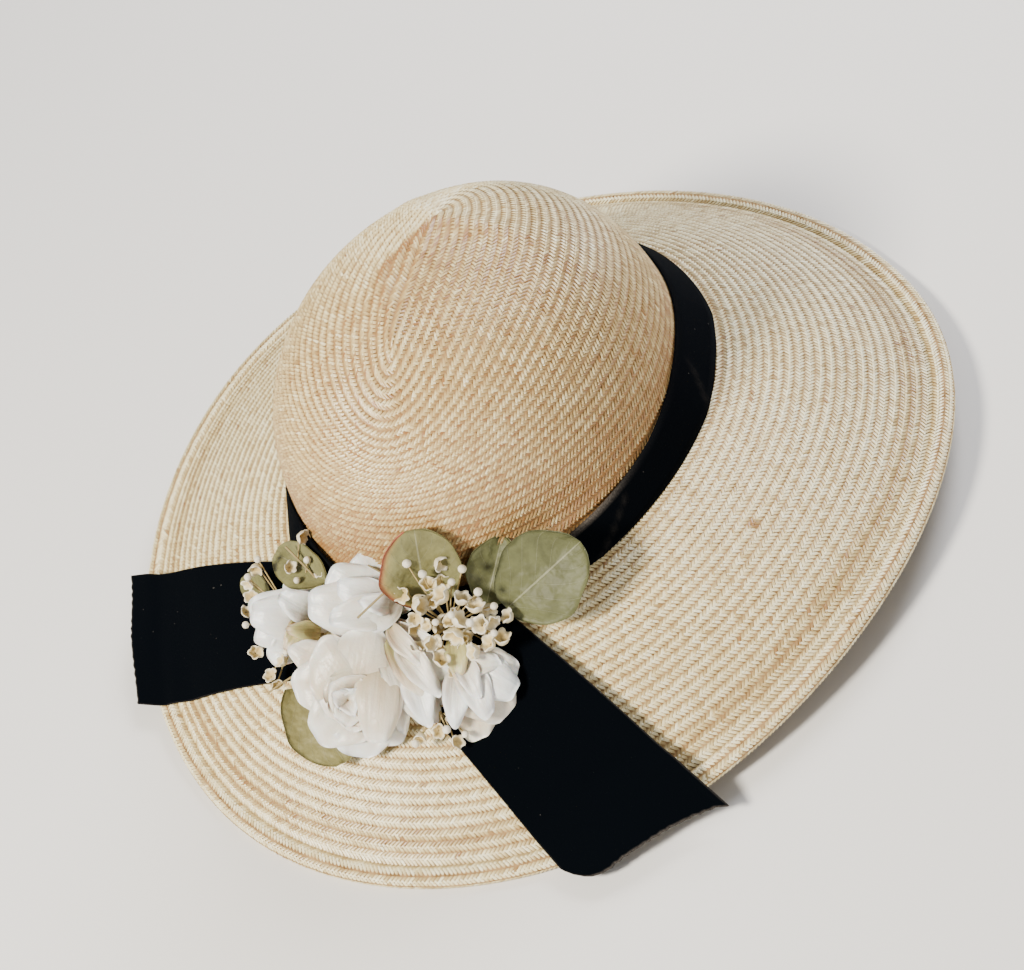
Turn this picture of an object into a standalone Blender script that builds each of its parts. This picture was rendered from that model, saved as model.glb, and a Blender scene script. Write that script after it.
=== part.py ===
# Straw hat with a velvet ribbon and a flower trim, resting on its rim.
# Units are metres, +Z is up and the rim rests on z = 0.
# The head opening's long way runs along Y. The trim is at its +Y end.
# Plan positions below are measured from the crown's middle; the whole hat
# is moved once, by FRAME_SHIFT, so that its box is centred on the origin.
import bpy
import bmesh
import math
from collections import namedtuple
from mathutils import Matrix, Vector

FRAME_SHIFT = Vector((-0.0061, -0.0036, 0.0))

# Straw walls and the gap that separate pieces keep
STRAW = 0.0018
FIT_GAP = 0.0003

# Headline, where crown, brim and ribbon meet
HEADLINE_HEIGHT = 0.0551
HEADLINE_HALF = (0.0872, 0.1012)

# Crown: half width and half length above the ribbon, and how the dome curves
CROWN_HALF = (0.0808, 0.0895)
CROWN_HEIGHT = 0.0974
DOME_START = 0.0119
CROWN_FOOT = 0.0015
FLARE_TOP = 0.0235
FLARE_POWER = 1.4
DOME_PLAN_POWER = 2.53
DOME_SIDE_POWER = 2.18
CROWN_LEAN = (-0.0031, 0.0013)
RIDGE_HEIGHT = 0.0016
RIDGE_WIDTH = 0.0070
SIDE_HEIGHTS = (CROWN_FOOT, 0.012, 0.024)
DOME_STEPS_DEG = (18.0, 30.0, 42.0, 53.0, 63.0, 72.0, 80.0, 86.0)

# Brim: half width and half length of the rim, and its slow waves
Wave = namedtuple("Wave", "count size phase_deg")
RIM_HALF = (0.1810, 0.1832)
RIM_MIDDLE = (0.0050, 0.0012)
RIM_OUT_WAVES = (Wave(3, 0.0143, -65.0),)
RIM_LIFT_MEAN = 0.0064
RIM_LIFT_WAVES = (Wave(2, 0.0090, 6.0), Wave(3, 0.0016, 231.0))
RIM_SETTLE = 0.0030
BRIM_BOW = 0.0030
BRIM_SLOPE = math.radians(29)

# Turned edge of the brim, with the flat strip that it rests on. Its profile runs from the
# crest outwards: shares of the edge's width in from the rim, and of the crest's height.
EDGE_WIDTH = 0.0085
EDGE_SHOULDER = 0.0042
EDGE_CREST = 0.0044
EDGE_RISE = 0.0026
EDGE_RISE_FROM = 0.90
EDGE_PROFILE = ((0.55, 1.0), (0.22, 0.78), (0.0, 0.40))
REST_INSET = 0.0010
REST_WIDTH = 0.0030

# Velvet ribbon: the band is the ribbon folded in half lengthwise, round the crown's foot
RIBBON_THICKNESS = 0.0012
BAND_LOW_HALF = (0.08975, 0.1040)
BAND_HIGH_HALF = (0.0832, 0.0932)
BAND_HEIGHT = 0.0235

# Ribbon tails: plan corners of each edge, then how far each edge stands off the brim
Tail = namedtuple("Tail", "name upper_from upper_to lower_from lower_to")
TAILS = (
    Tail("ribbon_tail_back", (0.0300, 0.0867), (0.1576, 0.1012), (0.0200, 0.1287), (0.1205, 0.1507)),
    Tail("ribbon_tail_front", (-0.0330, 0.0735), (-0.1563, 0.1030), (-0.0200, 0.1140), (-0.1085, 0.1495)),
)
Station = namedtuple("Station", "share upper_lift lower_lift")
TAIL_STATIONS = (
    Station(0.00, 0.0030, 0.0030),
    Station(0.15, 0.0040, 0.0030),
    Station(0.35, 0.0060, 0.0030),
    Station(0.60, 0.0075, 0.0025),
    Station(0.84, 0.0075, 0.0010),
    Station(1.00, 0.0120, 0.0095),
)
TAIL_STEPS = 12
TAIL_ACROSS = 4
TAIL_END_WAVE = 0.0020
TAIL_BLOCK_DEPTH = 0.03
TAIL_LOWEST = 0.0040
TAIL_CLEARANCE = 0.0013

# Blooms: middle, reach of the petals, the way each one faces, and its petals.
# The sizes below are shares of a bloom's reach, but for the post and petal thickness.
Bloom = namedtuple("Bloom", "name middle reach facing outer_petals inner_petals turn_deg")
BLOOMS = (
    Bloom("bloom_main", (-0.0215, 0.1325, 0.0582), 0.0300, (-0.35, 0.55, 0.75), 6, 4, 10.0),
    Bloom("bloom_top", (-0.0085, 0.1060, 0.0807), 0.0210, (-0.30, 0.45, 0.85), 5, 2, 40.0),
    Bloom("bloom_left", (0.0295, 0.1195, 0.0612), 0.0190, (0.20, 0.55, 0.80), 5, 2, 75.0),
    Bloom("bloom_mid", (-0.0440, 0.1170, 0.0592), 0.0190, (-0.40, 0.30, 0.85), 4, 2, 120.0),
    Bloom("bloom_right", (-0.0680, 0.1150, 0.0517), 0.0180, (-0.60, 0.40, 0.70), 5, 2, 20.0),
)
PetalRing = namedtuple("PetalRing", "length rise_deg cup turn_deg")
OUTER_RING = PetalRing(0.92, 12.0, 0.22, 0.0)
INNER_RING = PetalRing(0.72, 48.0, 0.30, 30.0)
BLOOM_CORE = 0.38
BLOOM_CORE_SINK = 0.45
BLOOM_SINK = 0.40
BLOOM_ROOM = 1.06
POST = 0.004
POST_LENGTH = 0.03
PETAL_ROOT = 0.15
PETAL_WIDTH = 0.92
PETAL = 0.0012
PETAL_ROWS = 2
PETAL_COLUMNS = 2
TOUCHING_BLOOMS = (
    ("bloom_main", "bloom_top"), ("bloom_main", "bloom_left"), ("bloom_main", "bloom_mid"),
    ("bloom_mid", "bloom_right"), ("bloom_top", "bloom_left"), ("bloom_top", "bloom_mid"),
)

# Leaves: where the blade starts and ends, its width, and the way its face looks
Leaf = namedtuple("Leaf", "name base tip width facing stalk_towards")
LEAVES = (
    Leaf("leaf_upper", (-0.0285, 0.0985, 0.0700), (-0.0350, 0.0800, 0.1010), 0.0350, (-0.45, 0.60, 0.65),
         (0.0, -1.0, 0.0)),
    Leaf("leaf_wide", (-0.0575, 0.0915, 0.0670), (-0.0875, 0.0555, 0.0770), 0.0420, (-0.50, 0.50, 0.70),
         (0.2, -0.2, -1.0)),
    Leaf("leaf_behind", (-0.0515, 0.0815, 0.0720), (-0.0660, 0.0560, 0.0850), 0.0220, (-0.50, 0.50, 0.70),
         (1.0, -0.6, 0.0)),
    Leaf("leaf_back", (0.0170, 0.1010, 0.0750), (0.0520, 0.0960, 0.0650), 0.0230, (0.10, 0.70, 0.70),
         (-0.2, -1.0, 0.0)),
    Leaf("leaf_lower", (0.0190, 0.1320, 0.0430), (-0.0120, 0.1510, 0.0350), 0.0320, (0.00, 0.45, 0.90),
         (0.0, 0.0, -1.0)),
)
LEAF_THICKNESS = 0.0010
LEAF_CUP = 0.0030
LEAF_BACKING = 0.0090
STALK_FROM = 0.45
STALK = 0.0013

# Floret sprays: small cups and buds that grow as one lumpy cluster on a stalk
Spray = namedtuple("Spray", "name middle facing rows columns spacing bend floret stalk_from stalk_towards")
SPRAYS = (
    Spray("floret_spray_right", (-0.0500, 0.0935, 0.0775), (-0.60, 0.40, 0.69), 3, 4, 0.0105, 0.0, 0.0066,
          0, None),
    Spray("floret_spray_left", (0.0295, 0.1195, 0.0612), (-0.20, 0.50, 0.84), 1, 8, 0.0075, 0.0235, 0.0046,
          4, (0.0, 0.0, -1.0)),
    Spray("floret_spray_lower", (-0.0520, 0.1310, 0.0430), (-0.60, 0.40, 0.69), 1, 4, 0.0070, 0.0, 0.0045,
          1, (0.0, 0.0, -1.0)),
)

# Copies of the hat's own surfaces, grown by the gap, trim the trim that lies on them
BRIM_CUTTER_DEPTH = 0.03
HEAD_CUTTER_DROP = 0.02
HEAD_CUTTER_HEIGHTS = (0.035, 0.050, 0.065, 0.080)
HALF_SPACE = 0.10
JOIN_DISTANCE = 0.000005

# How finely round shapes are divided
AROUND_BRIM = 72
AROUND_CROWN = 44
AROUND_BAND = 60
BRIM_STEPS = (0.0, 0.33, 0.67, 1.0)


def clear_scene():
    for thing in list(bpy.data.objects):
        bpy.data.objects.remove(thing, do_unlink=True)


def make_collection(name):
    group = bpy.data.collections.new(name)
    bpy.context.scene.collection.children.link(group)
    return group


def make_material(name, colour, roughness, sheen=0.0):
    material = bpy.data.materials.new(name)
    material.use_nodes = True
    shader = material.node_tree.nodes["Principled BSDF"]
    shader.inputs["Base Color"].default_value = (*colour, 1.0)
    shader.inputs["Roughness"].default_value = roughness
    shader.inputs["Metallic"].default_value = 0.0
    shader.inputs["Sheen Weight"].default_value = sheen
    material.diffuse_color = (*colour, 1.0)
    return material


def object_from_bmesh(name, shape, material, group):
    mesh = bpy.data.meshes.new(name)
    bmesh.ops.recalc_face_normals(shape, faces=shape.faces)
    closed = all(edge.is_manifold for edge in shape.edges)
    if closed and shape.calc_volume(signed=True) < 0.0:
        bmesh.ops.reverse_faces(shape, faces=shape.faces)
    shape.to_mesh(mesh)
    shape.free()
    thing = bpy.data.objects.new(name, mesh)
    if material:
        mesh.materials.append(material)
    mesh.shade_smooth()
    mesh.set_sharp_from_angle(angle=math.radians(50))
    group.objects.link(thing)
    return thing


def loft(sections, wrap_sections, wrap_points):
    # Joins each section to the next with quads; sections hold equally many points
    shape = bmesh.new()
    rings = [[shape.verts.new(point) for point in section] for section in sections]
    across = len(rings) if wrap_sections else len(rings) - 1
    along = len(rings[0]) if wrap_points else len(rings[0]) - 1
    for i in range(across):
        here = rings[i]
        there = rings[(i + 1) % len(rings)]
        for j in range(along):
            k = (j + 1) % len(here)
            shape.faces.new((here[j], here[k], there[k], there[j]))
    return shape, rings


def add_walls(thing, thickness, offset):
    wall = thing.modifiers.new("wall", "SOLIDIFY")
    wall.thickness = thickness
    wall.offset = offset
    wall.use_even_offset = True
    return wall


def angles(count):
    return [2.0 * math.pi * i / count for i in range(count)]


def waves(table, angle):
    return sum(w.size * math.cos(w.count * angle - math.radians(w.phase_deg)) for w in table)


def settle(height):
    # Straw that would pass below the surface lies flat on it instead
    if height <= 0.0:
        return 0.0
    if height < RIM_SETTLE:
        return height * height / (2.0 * RIM_SETTLE)
    return height - RIM_SETTLE / 2.0


def oval(halves, angle, height):
    return Vector((halves[0] * math.cos(angle), halves[1] * math.sin(angle), height))


def rim_point(angle):
    out = 1.0 + waves(RIM_OUT_WAVES, angle)
    x = RIM_MIDDLE[0] + RIM_HALF[0] * out * math.cos(angle)
    y = RIM_MIDDLE[1] + RIM_HALF[1] * out * math.sin(angle)
    return Vector((x, y, settle(RIM_LIFT_MEAN + waves(RIM_LIFT_WAVES, angle))))


def brim_frame(angle):
    # Inner edge of the brim, its rim, and the level direction from one to the other
    inner = oval(grown(HEADLINE_HALF, 0.0002), angle, HEADLINE_HEIGHT + 0.0001)
    rim = rim_point(angle)
    outward = Vector((rim.x - inner.x, rim.y - inner.y, 0.0)).normalized()
    return inner, rim, outward


def grown(halves, by):
    return (halves[0] + by, halves[1] + by)


def brim_top(angle, t):
    # Upper face of the brim: t is 0 at the headline and 1 where the turned edge begins
    inner, rim, outward = brim_frame(angle)
    shoulder = rim - outward * EDGE_WIDTH
    shoulder.z = rim.z + EDGE_SHOULDER
    point = inner.lerp(shoulder, t)
    point.z += BRIM_BOW * 4.0 * t * (1.0 - t)
    return point


def brim_section(angle):
    inner, rim, outward = brim_frame(angle)
    top = [brim_top(angle, t) for t in BRIM_STEPS]
    drop = Vector((0.0, 0.0, -STRAW / math.cos(BRIM_SLOPE)))
    underside = [brim_top(angle, t) + drop for t in reversed(BRIM_STEPS)]
    lip = oval(grown(HEADLINE_HALF, -STRAW), angle, HEADLINE_HEIGHT + 0.0001)
    edge = []
    profile = [(EDGE_WIDTH * inset, EDGE_CREST * height) for inset, height in EDGE_PROFILE]
    for inset, height in profile + [(REST_INSET, 0.0), (REST_INSET + REST_WIDTH, 0.0)]:
        point = rim - outward * inset
        point.z = rim.z + height
        edge.append(point)
    return [lip] + top + edge + underside + [lip + drop]


def make_brim(material, group):
    shape, rings = loft([brim_section(a) for a in angles(AROUND_BRIM)], True, True)
    return object_from_bmesh("brim", shape, material, group)


def crown_ring_size(height):
    # Share of the dome's full width left at this height over the headline
    rise = max(0.0, (height - DOME_START) / (CROWN_HEIGHT - DOME_START))
    share = max(0.0, 1.0 - rise ** DOME_SIDE_POWER) ** (1.0 / DOME_PLAN_POWER)
    flare = max(0.0, (FLARE_TOP - height) / FLARE_TOP) ** FLARE_POWER
    return rise, share, flare


def distance_to_line(point, start, end):
    along = end - start
    t = max(0.0, min(1.0, (point - start).dot(along) / along.length_squared))
    return (point - start - along * t).length


# The tip's soft planes meet in ridges, worn where they cross
TIP_CORNER = Vector((0.004, -0.026))
TIP_RIDGES = (
    (TIP_CORNER, Vector((0.008, 0.006))),
    (Vector((0.008, 0.006)), Vector((-0.016, 0.034))),
    (TIP_CORNER, Vector((-0.030, -0.032))),
    (TIP_CORNER, Vector((0.034, -0.040))),
)


def crown_point(angle, height):
    rise, share, flare = crown_ring_size(height)
    half_x = CROWN_HALF[0] * share + (HEADLINE_HALF[0] - CROWN_HALF[0]) * flare
    half_y = CROWN_HALF[1] * share + (HEADLINE_HALF[1] - CROWN_HALF[1]) * flare
    point = oval((half_x, half_y), angle, HEADLINE_HEIGHT + height)
    point.x += CROWN_LEAN[0] * rise
    point.y += CROWN_LEAN[1] * rise
    near = min(distance_to_line(point.xy, start, end) for start, end in TIP_RIDGES)
    point.z += RIDGE_HEIGHT * math.exp(-((near / RIDGE_WIDTH) ** 2)) * rise ** 6
    return point


def make_crown(material, group):
    heights = list(SIDE_HEIGHTS)
    for step in DOME_STEPS_DEG:
        rise = math.sin(math.radians(step)) ** (2.0 / DOME_SIDE_POWER)
        heights.append(DOME_START + (CROWN_HEIGHT - DOME_START) * rise)
    heights = sorted(heights)
    sections = [[crown_point(a, h) for a in angles(AROUND_CROWN)] for h in heights]
    shape, rings = loft(sections, False, True)
    peak = shape.verts.new(crown_point(0.0, CROWN_HEIGHT))
    last = rings[-1]
    for i in range(len(last)):
        shape.faces.new((last[i], last[(i + 1) % len(last)], peak))
    crown = object_from_bmesh("crown", shape, material, group)
    add_walls(crown, STRAW, -1.0)
    return crown


def make_band(material, group):
    sections = []
    for angle in angles(AROUND_BAND):
        low = HEADLINE_HEIGHT - 0.0002
        high = HEADLINE_HEIGHT + BAND_HEIGHT
        sections.append([
            oval(BAND_LOW_HALF, angle, low),
            oval(BAND_HIGH_HALF, angle, high),
            oval(grown(BAND_HIGH_HALF, -RIBBON_THICKNESS), angle, high),
            oval(grown(BAND_LOW_HALF, -RIBBON_THICKNESS), angle, low),
        ])
    shape, rings = loft(sections, True, True)
    return object_from_bmesh("ribbon_band", shape, material, group)


def brim_height(x, y):
    # Height of the brim's upper face over a plan point, also a little beyond the rim.
    # The turned edge stands EDGE_RISE above the brim's slope carried on.
    angle = math.atan2(y / HEADLINE_HALF[1], x / HEADLINE_HALF[0])
    for _ in range(8):
        start = brim_top(angle, 0.0).xy
        span = brim_top(angle, 1.0).xy - start
        miss = Vector((x, y)) - start
        share = miss.dot(span) / span.length_squared
        sideways = (span.x * miss.y - span.y * miss.x) / span.length
        angle += sideways / math.hypot(x, y)
    over_edge = max(0.0, min(1.0, (share - EDGE_RISE_FROM) / (1.0 - EDGE_RISE_FROM)))
    return brim_top(angle, share).z + EDGE_RISE * over_edge


def tail_lifts(share):
    for before, after in zip(TAIL_STATIONS, TAIL_STATIONS[1:]):
        if share <= after.share:
            part = (share - before.share) / (after.share - before.share)
            upper = before.upper_lift + (after.upper_lift - before.upper_lift) * part
            lower = before.lower_lift + (after.lower_lift - before.lower_lift) * part
            return upper, lower


def tail_rows(tail):
    # The ribbon bends only along its length, so each row across it is straight
    rows = []
    for i in range(TAIL_STEPS + 1):
        share = i / TAIL_STEPS
        upper = Vector(tail.upper_from).lerp(Vector(tail.upper_to), share)
        lower = Vector(tail.lower_from).lerp(Vector(tail.lower_to), share)
        upper_lift, lower_lift = tail_lifts(share)
        upper = Vector((*upper, max(TAIL_LOWEST, brim_height(*upper) + upper_lift)))
        lower = Vector((*lower, max(TAIL_LOWEST, brim_height(*lower) + lower_lift)))
        row = [upper.lerp(lower, j / TAIL_ACROSS) for j in range(TAIL_ACROSS + 1)]
        short = max(brim_height(p.x, p.y) + TAIL_CLEARANCE - p.z for p in row)
        up = Vector((0.0, 0.0, max(0.0, short)))
        rows.append([p + up for p in row])
    along = (rows[-1][0] - rows[-2][0]).normalized()
    for j, point in enumerate(rows[-1]):
        point += along * TAIL_END_WAVE * math.sin(2.2 * math.pi * j / TAIL_ACROSS)
    return rows


def slab_between(name, rows, front, back, group):
    # A closed slab from a sheet moved by front to the same sheet moved by back. It is a
    # little wider and longer than the sheet, and trims what comes close to the sheet.
    margin = 3.0 * FIT_GAP
    before = (rows[0][0] - rows[1][0]).normalized() * margin
    after = (rows[-1][0] - rows[-2][0]).normalized() * margin
    longer = [[p + before for p in rows[0]]] + rows[1:-1] + [[p + after for p in rows[-1]]]
    sections = []
    for row in longer:
        aside = (row[-1] - row[0]).normalized() * margin
        wide = [row[0] - aside] + row[1:-1] + [row[-1] + aside]
        sections.append([p + front for p in wide] + [p + back for p in reversed(wide)])
    shape, rings = loft(sections, False, True)
    shape.faces.new(rings[0])
    shape.faces.new(reversed(rings[-1]))
    return object_from_bmesh(name, shape, None, group)


def make_brim_cutter(group):
    sections = []
    gap = Vector((0.0, 0.0, FIT_GAP + 0.0001))
    down = Vector((0.0, 0.0, -BRIM_CUTTER_DEPTH))
    for angle in angles(AROUND_BRIM):
        lifted = [brim_top(angle, t) + gap for t in BRIM_STEPS]
        sections.append(lifted + [lifted[-1] + down, lifted[0] + down])
    shape, rings = loft(sections, True, True)
    return object_from_bmesh("brim_cutter", shape, None, group)


def make_head_cutter(group):
    # Ribbon and crown with the fitting gap added
    around = angles(AROUND_BAND)
    gap = 2.0 * FIT_GAP
    sections = [
        [oval(grown(BAND_LOW_HALF, gap), a, HEADLINE_HEIGHT - HEAD_CUTTER_DROP) for a in around],
        [oval(grown(BAND_LOW_HALF, gap), a, HEADLINE_HEIGHT) for a in around],
        [oval(grown(BAND_HIGH_HALF, gap), a, HEADLINE_HEIGHT + BAND_HEIGHT + gap) for a in around],
    ]
    for height in HEAD_CUTTER_HEIGHTS:
        ring = [crown_point(a, height) for a in around]
        middle = sum(ring, Vector()) / len(ring)
        sections.append([p + (p - middle).normalized() * 2.0 * gap for p in ring])
    shape, rings = loft(sections, False, True)
    shape.faces.new(reversed(rings[0]))
    shape.faces.new(rings[-1])
    return object_from_bmesh("head_cutter", shape, None, group)


def facing_frame(middle, facing, turn_deg=0.0):
    turn = Vector(facing).to_track_quat("Z", "Y").to_matrix().to_4x4()
    return Matrix.Translation(middle) @ turn @ Matrix.Rotation(math.radians(turn_deg), 4, "Z")


def petal_rows(root, length, rise_deg, cup):
    # A cupped petal on the XZ side of the bloom: narrow at its root, widest past its middle
    rows = []
    rise = math.radians(rise_deg)
    for i in range(PETAL_ROWS + 1):
        u = i / PETAL_ROWS
        half = PETAL_WIDTH / 2.0 * length * math.sin(math.pi * (0.12 + 0.70 * u)) ** 0.8
        row = []
        for j in range(PETAL_COLUMNS + 1):
            v = 2.0 * j / PETAL_COLUMNS - 1.0
            out = root + (length - root) * (u - 0.10 * u * v * v) * math.cos(rise)
            up = length * u * math.sin(rise) + cup * length * (v * v * 0.5 + u * u * 0.4)
            row.append(Vector((out, half * v, up)))
        rows.append(row)
    return rows


def add_ball(name, middle, size, group, segments=8, rings=5):
    shape = bmesh.new()
    bmesh.ops.create_uvsphere(shape, u_segments=segments, v_segments=rings, radius=size)
    bmesh.ops.translate(shape, verts=shape.verts, vec=middle)
    return object_from_bmesh(name, shape, None, group)


def add_rod(name, start, direction, length, size, group):
    shape = bmesh.new()
    bmesh.ops.create_cone(shape, cap_ends=True, segments=6, radius1=size, radius2=size, depth=length)
    turn = Vector(direction).to_track_quat("Z", "Y").to_matrix().to_4x4()
    middle = Vector(start) + Vector(direction).normalized() * length / 2.0
    shape.transform(Matrix.Translation(middle) @ turn)
    return object_from_bmesh(name, shape, None, group)


def add_half_space(name, point, direction, group):
    # A big block whose face passes through the point and which fills the given side
    shape = bmesh.new()
    bmesh.ops.create_cube(shape, size=HALF_SPACE)
    turn = direction.to_track_quat("Z", "Y").to_matrix().to_4x4()
    shape.transform(Matrix.Translation(point + direction.normalized() * HALF_SPACE / 2.0) @ turn)
    return object_from_bmesh(name, shape, None, group)


def add_boolean(thing, label, operation, pieces):
    # One boolean takes all the pieces of a collection made for it
    group = bpy.data.collections.new(thing.name + "_" + label)
    for piece in pieces:
        group.objects.link(piece)
    cut = thing.modifiers.new(label, "BOOLEAN")
    cut.operation = operation
    cut.solver = "EXACT"
    cut.use_self = operation == "UNION"
    cut.operand_type = "COLLECTION"
    cut.collection = group
    return cut


def join_slivers(thing):
    # The cuts leave a few points that all but coincide
    weld = thing.modifiers.new("join", "WELD")
    weld.merge_threshold = JOIN_DISTANCE


def make_tails(material, group, cutters, head_cutter):
    # Returns the blocks that trim what lies on the tails
    blocks = []
    for tail in TAILS:
        rows = tail_rows(tail)
        shape, rings = loft(rows, False, False)
        thing = object_from_bmesh(tail.name, shape, material, group)
        add_walls(thing, RIBBON_THICKNESS, 0.0)
        add_boolean(thing, "fit", "DIFFERENCE", [head_cutter])
        up = Vector((0.0, 0.0, RIBBON_THICKNESS))
        down = Vector((0.0, 0.0, -TAIL_BLOCK_DEPTH))
        blocks.append(slab_between(tail.name + "_block", rows, up, down, cutters))
    return blocks


def make_bloom(bloom, material, group, cutters):
    middle = Vector(bloom.middle)
    frame = facing_frame(middle, bloom.facing, bloom.turn_deg)
    base = middle - Vector(bloom.facing).normalized() * bloom.reach * BLOOM_CORE_SINK
    core = add_ball(bloom.name, base, bloom.reach * BLOOM_CORE, group)
    core.data.materials.append(material)
    petals = []
    down = Matrix.Translation((0.0, 0.0, -BLOOM_SINK * bloom.reach))
    for count, ring in ((bloom.outer_petals, OUTER_RING), (bloom.inner_petals, INNER_RING)):
        for i in range(count):
            # Real petals differ a little, and equal ones would meet edge on edge
            sway = math.sin(2.4 * i + count)
            size = bloom.reach * ring.length * (1.0 - 0.05 * abs(sway))
            rows = petal_rows(bloom.reach * PETAL_ROOT, size, ring.rise_deg + 5.0 * sway, ring.cup)
            shape, edges = loft(rows, False, False)
            turn = math.radians(ring.turn_deg + 4.0 * sway + 360.0 * i / count)
            shape.transform(frame @ down @ Matrix.Rotation(turn, 4, "Z"))
            petal = object_from_bmesh(bloom.name + "_petal", shape, None, cutters)
            add_walls(petal, PETAL, 0.0)
            petals.append(petal)
    petals.append(add_rod(bloom.name + "_post", base, (0.0, 0.0, -1.0), POST_LENGTH, POST, cutters))
    add_boolean(core, "petals", "UNION", petals)
    return core


def make_blooms(material, group, cutters, supports):
    blooms = {b.name: make_bloom(b, material, group, cutters) for b in BLOOMS}
    rows = {b.name: b for b in BLOOMS}
    walls = {name: [] for name in blooms}
    for first, second in TOUCHING_BLOOMS:
        a = Vector(rows[first].middle)
        b = Vector(rows[second].middle)
        share = rows[first].reach / (rows[first].reach + rows[second].reach)
        between = a.lerp(b, share)
        away = (b - a).normalized()
        half_gap = away * (FIT_GAP / 2.0 + 0.00005)
        walls[first].append(add_half_space(first + "_wall", between - half_gap, away, cutters))
        walls[second].append(add_half_space(second + "_wall", between + half_gap, -away, cutters))
    for name, bloom in blooms.items():
        add_boolean(bloom, "fit", "DIFFERENCE", supports + walls[name])
        join_slivers(bloom)


def bloom_rooms(cutters):
    # Round keep-clear spaces of the blooms, for the leaves and sprays between them
    rooms = []
    for bloom in BLOOMS:
        room = add_ball(bloom.name + "_room", bloom.middle, bloom.reach * BLOOM_ROOM, cutters, 16, 10)
        rooms.append(room)
    return rooms


def leaf_rows(leaf):
    base = Vector(leaf.base)
    along = Vector(leaf.tip) - base
    facing = Vector(leaf.facing)
    across = along.cross(facing).normalized()
    normal = across.cross(along).normalized()
    rows = []
    for i in range(6):
        u = i / 5.0
        half = leaf.width / 2.0 * math.sin(math.pi * (0.06 + 0.88 * u)) ** 0.6
        row = []
        for j in range(5):
            v = j / 2.0 - 1.0
            row.append(base + along * u + across * half * v + normal * LEAF_CUP * (v * v - u * u))
        rows.append(row)
    return rows


def make_leaves(material, group, cutters, blockers):
    # Returns slabs behind the leaves and round their stalks, to trim the sprays
    slabs = []
    stalk_rooms = []
    for leaf in LEAVES:
        rows = leaf_rows(leaf)
        facing = Vector(leaf.facing).normalized()
        shape, rings = loft(rows, False, False)
        thing = object_from_bmesh(leaf.name, shape, material, group)
        add_walls(thing, LEAF_THICKNESS, 0.0)
        front = facing * (LEAF_THICKNESS / 2.0 + 2.0 * FIT_GAP)
        slabs.append(slab_between(leaf.name + "_slab", rows, front, -facing * LEAF_BACKING, cutters))
        start = Vector(leaf.base).lerp(Vector(leaf.tip), STALK_FROM) - facing * LEAF_THICKNESS
        stalk = add_rod(leaf.name + "_stalk", start, leaf.stalk_towards, POST_LENGTH, STALK, cutters)
        room = STALK + 2.0 * FIT_GAP
        room = add_rod(leaf.name + "_stalk_room", start, leaf.stalk_towards, POST_LENGTH, room, cutters)
        add_boolean(thing, "stalk", "UNION", [stalk])
        add_boolean(thing, "fit", "DIFFERENCE", blockers + stalk_rooms)
        stalk_rooms.append(room)
    return slabs + stalk_rooms


def spray_points(spray):
    frame = facing_frame(Vector(spray.middle), spray.facing)
    points = []
    for row in range(spray.rows):
        for column in range(spray.columns):
            x = (column - (spray.columns - 1) / 2.0) * spray.spacing
            y = (row - (spray.rows - 1) / 2.0) * spray.spacing
            if spray.bend:
                turn = x / spray.bend
                point = Vector((-spray.bend * math.cos(turn), spray.bend * math.sin(turn), 0.0))
            else:
                stagger = 0.5 * spray.spacing * (row % 2)
                point = Vector((x + stagger, y * 0.9, 0.25 * spray.spacing * ((row + column) % 2)))
            points.append(frame @ point)
    return points


def make_sprays(material, group, cutters, blockers):
    for spray in SPRAYS:
        points = spray_points(spray)
        balls = [add_ball(spray.name + "_ball", p, spray.floret, cutters, 6, 4) for p in points[1:]]
        first = add_ball(spray.name, points[0], spray.floret, group, 6, 4)
        first.data.materials.append(material)
        if spray.stalk_towards:
            start = points[spray.stalk_from]
            balls.append(add_rod(spray.name + "_stalk", start, spray.stalk_towards, POST_LENGTH, STALK, cutters))
        add_boolean(first, "florets", "UNION", balls)
        add_boolean(first, "fit", "DIFFERENCE", blockers)
        join_slivers(first)


def main():
    clear_scene()
    group = make_collection("straw_hat")
    cutters = make_collection("cutters")
    straw = make_material("straw", (0.72, 0.58, 0.38), 0.55)
    velvet = make_material("black_velvet", (0.012, 0.012, 0.014), 0.95, sheen=0.6)
    petal = make_material("white_petal", (0.86, 0.86, 0.82), 0.45)
    leaf = make_material("dried_leaf", (0.42, 0.42, 0.27), 0.60)
    floret = make_material("cream_floret", (0.80, 0.72, 0.55), 0.60)

    make_brim(straw, group)
    make_crown(straw, group)
    make_band(velvet, group)
    brim_cutter = make_brim_cutter(cutters)
    head_cutter = make_head_cutter(cutters)
    tail_blocks = make_tails(velvet, group, cutters, head_cutter)
    supports = [brim_cutter, head_cutter] + tail_blocks
    make_blooms(petal, group, cutters, supports)
    rooms = bloom_rooms(cutters)
    slabs = make_leaves(leaf, group, cutters, supports + rooms)
    make_sprays(floret, group, cutters, supports + rooms + slabs)

    for thing in list(group.objects) + list(cutters.objects):
        thing.location = FRAME_SHIFT
    for thing in cutters.objects:
        thing.hide_render = True
        thing.display_type = "WIRE"


main()
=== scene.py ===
# %% [markdown]
# This lesson dresses a woven straw hat with its velvet ribbon and its trim of dried
# flowers. The measured solids come in first and stay where they are. Each finished
# piece is then made over the solid that it stands for, so the two always agree.

# %% Load the measured hat
import math

import bpy
import numpy as np
from mathutils import Matrix, Vector


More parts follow.
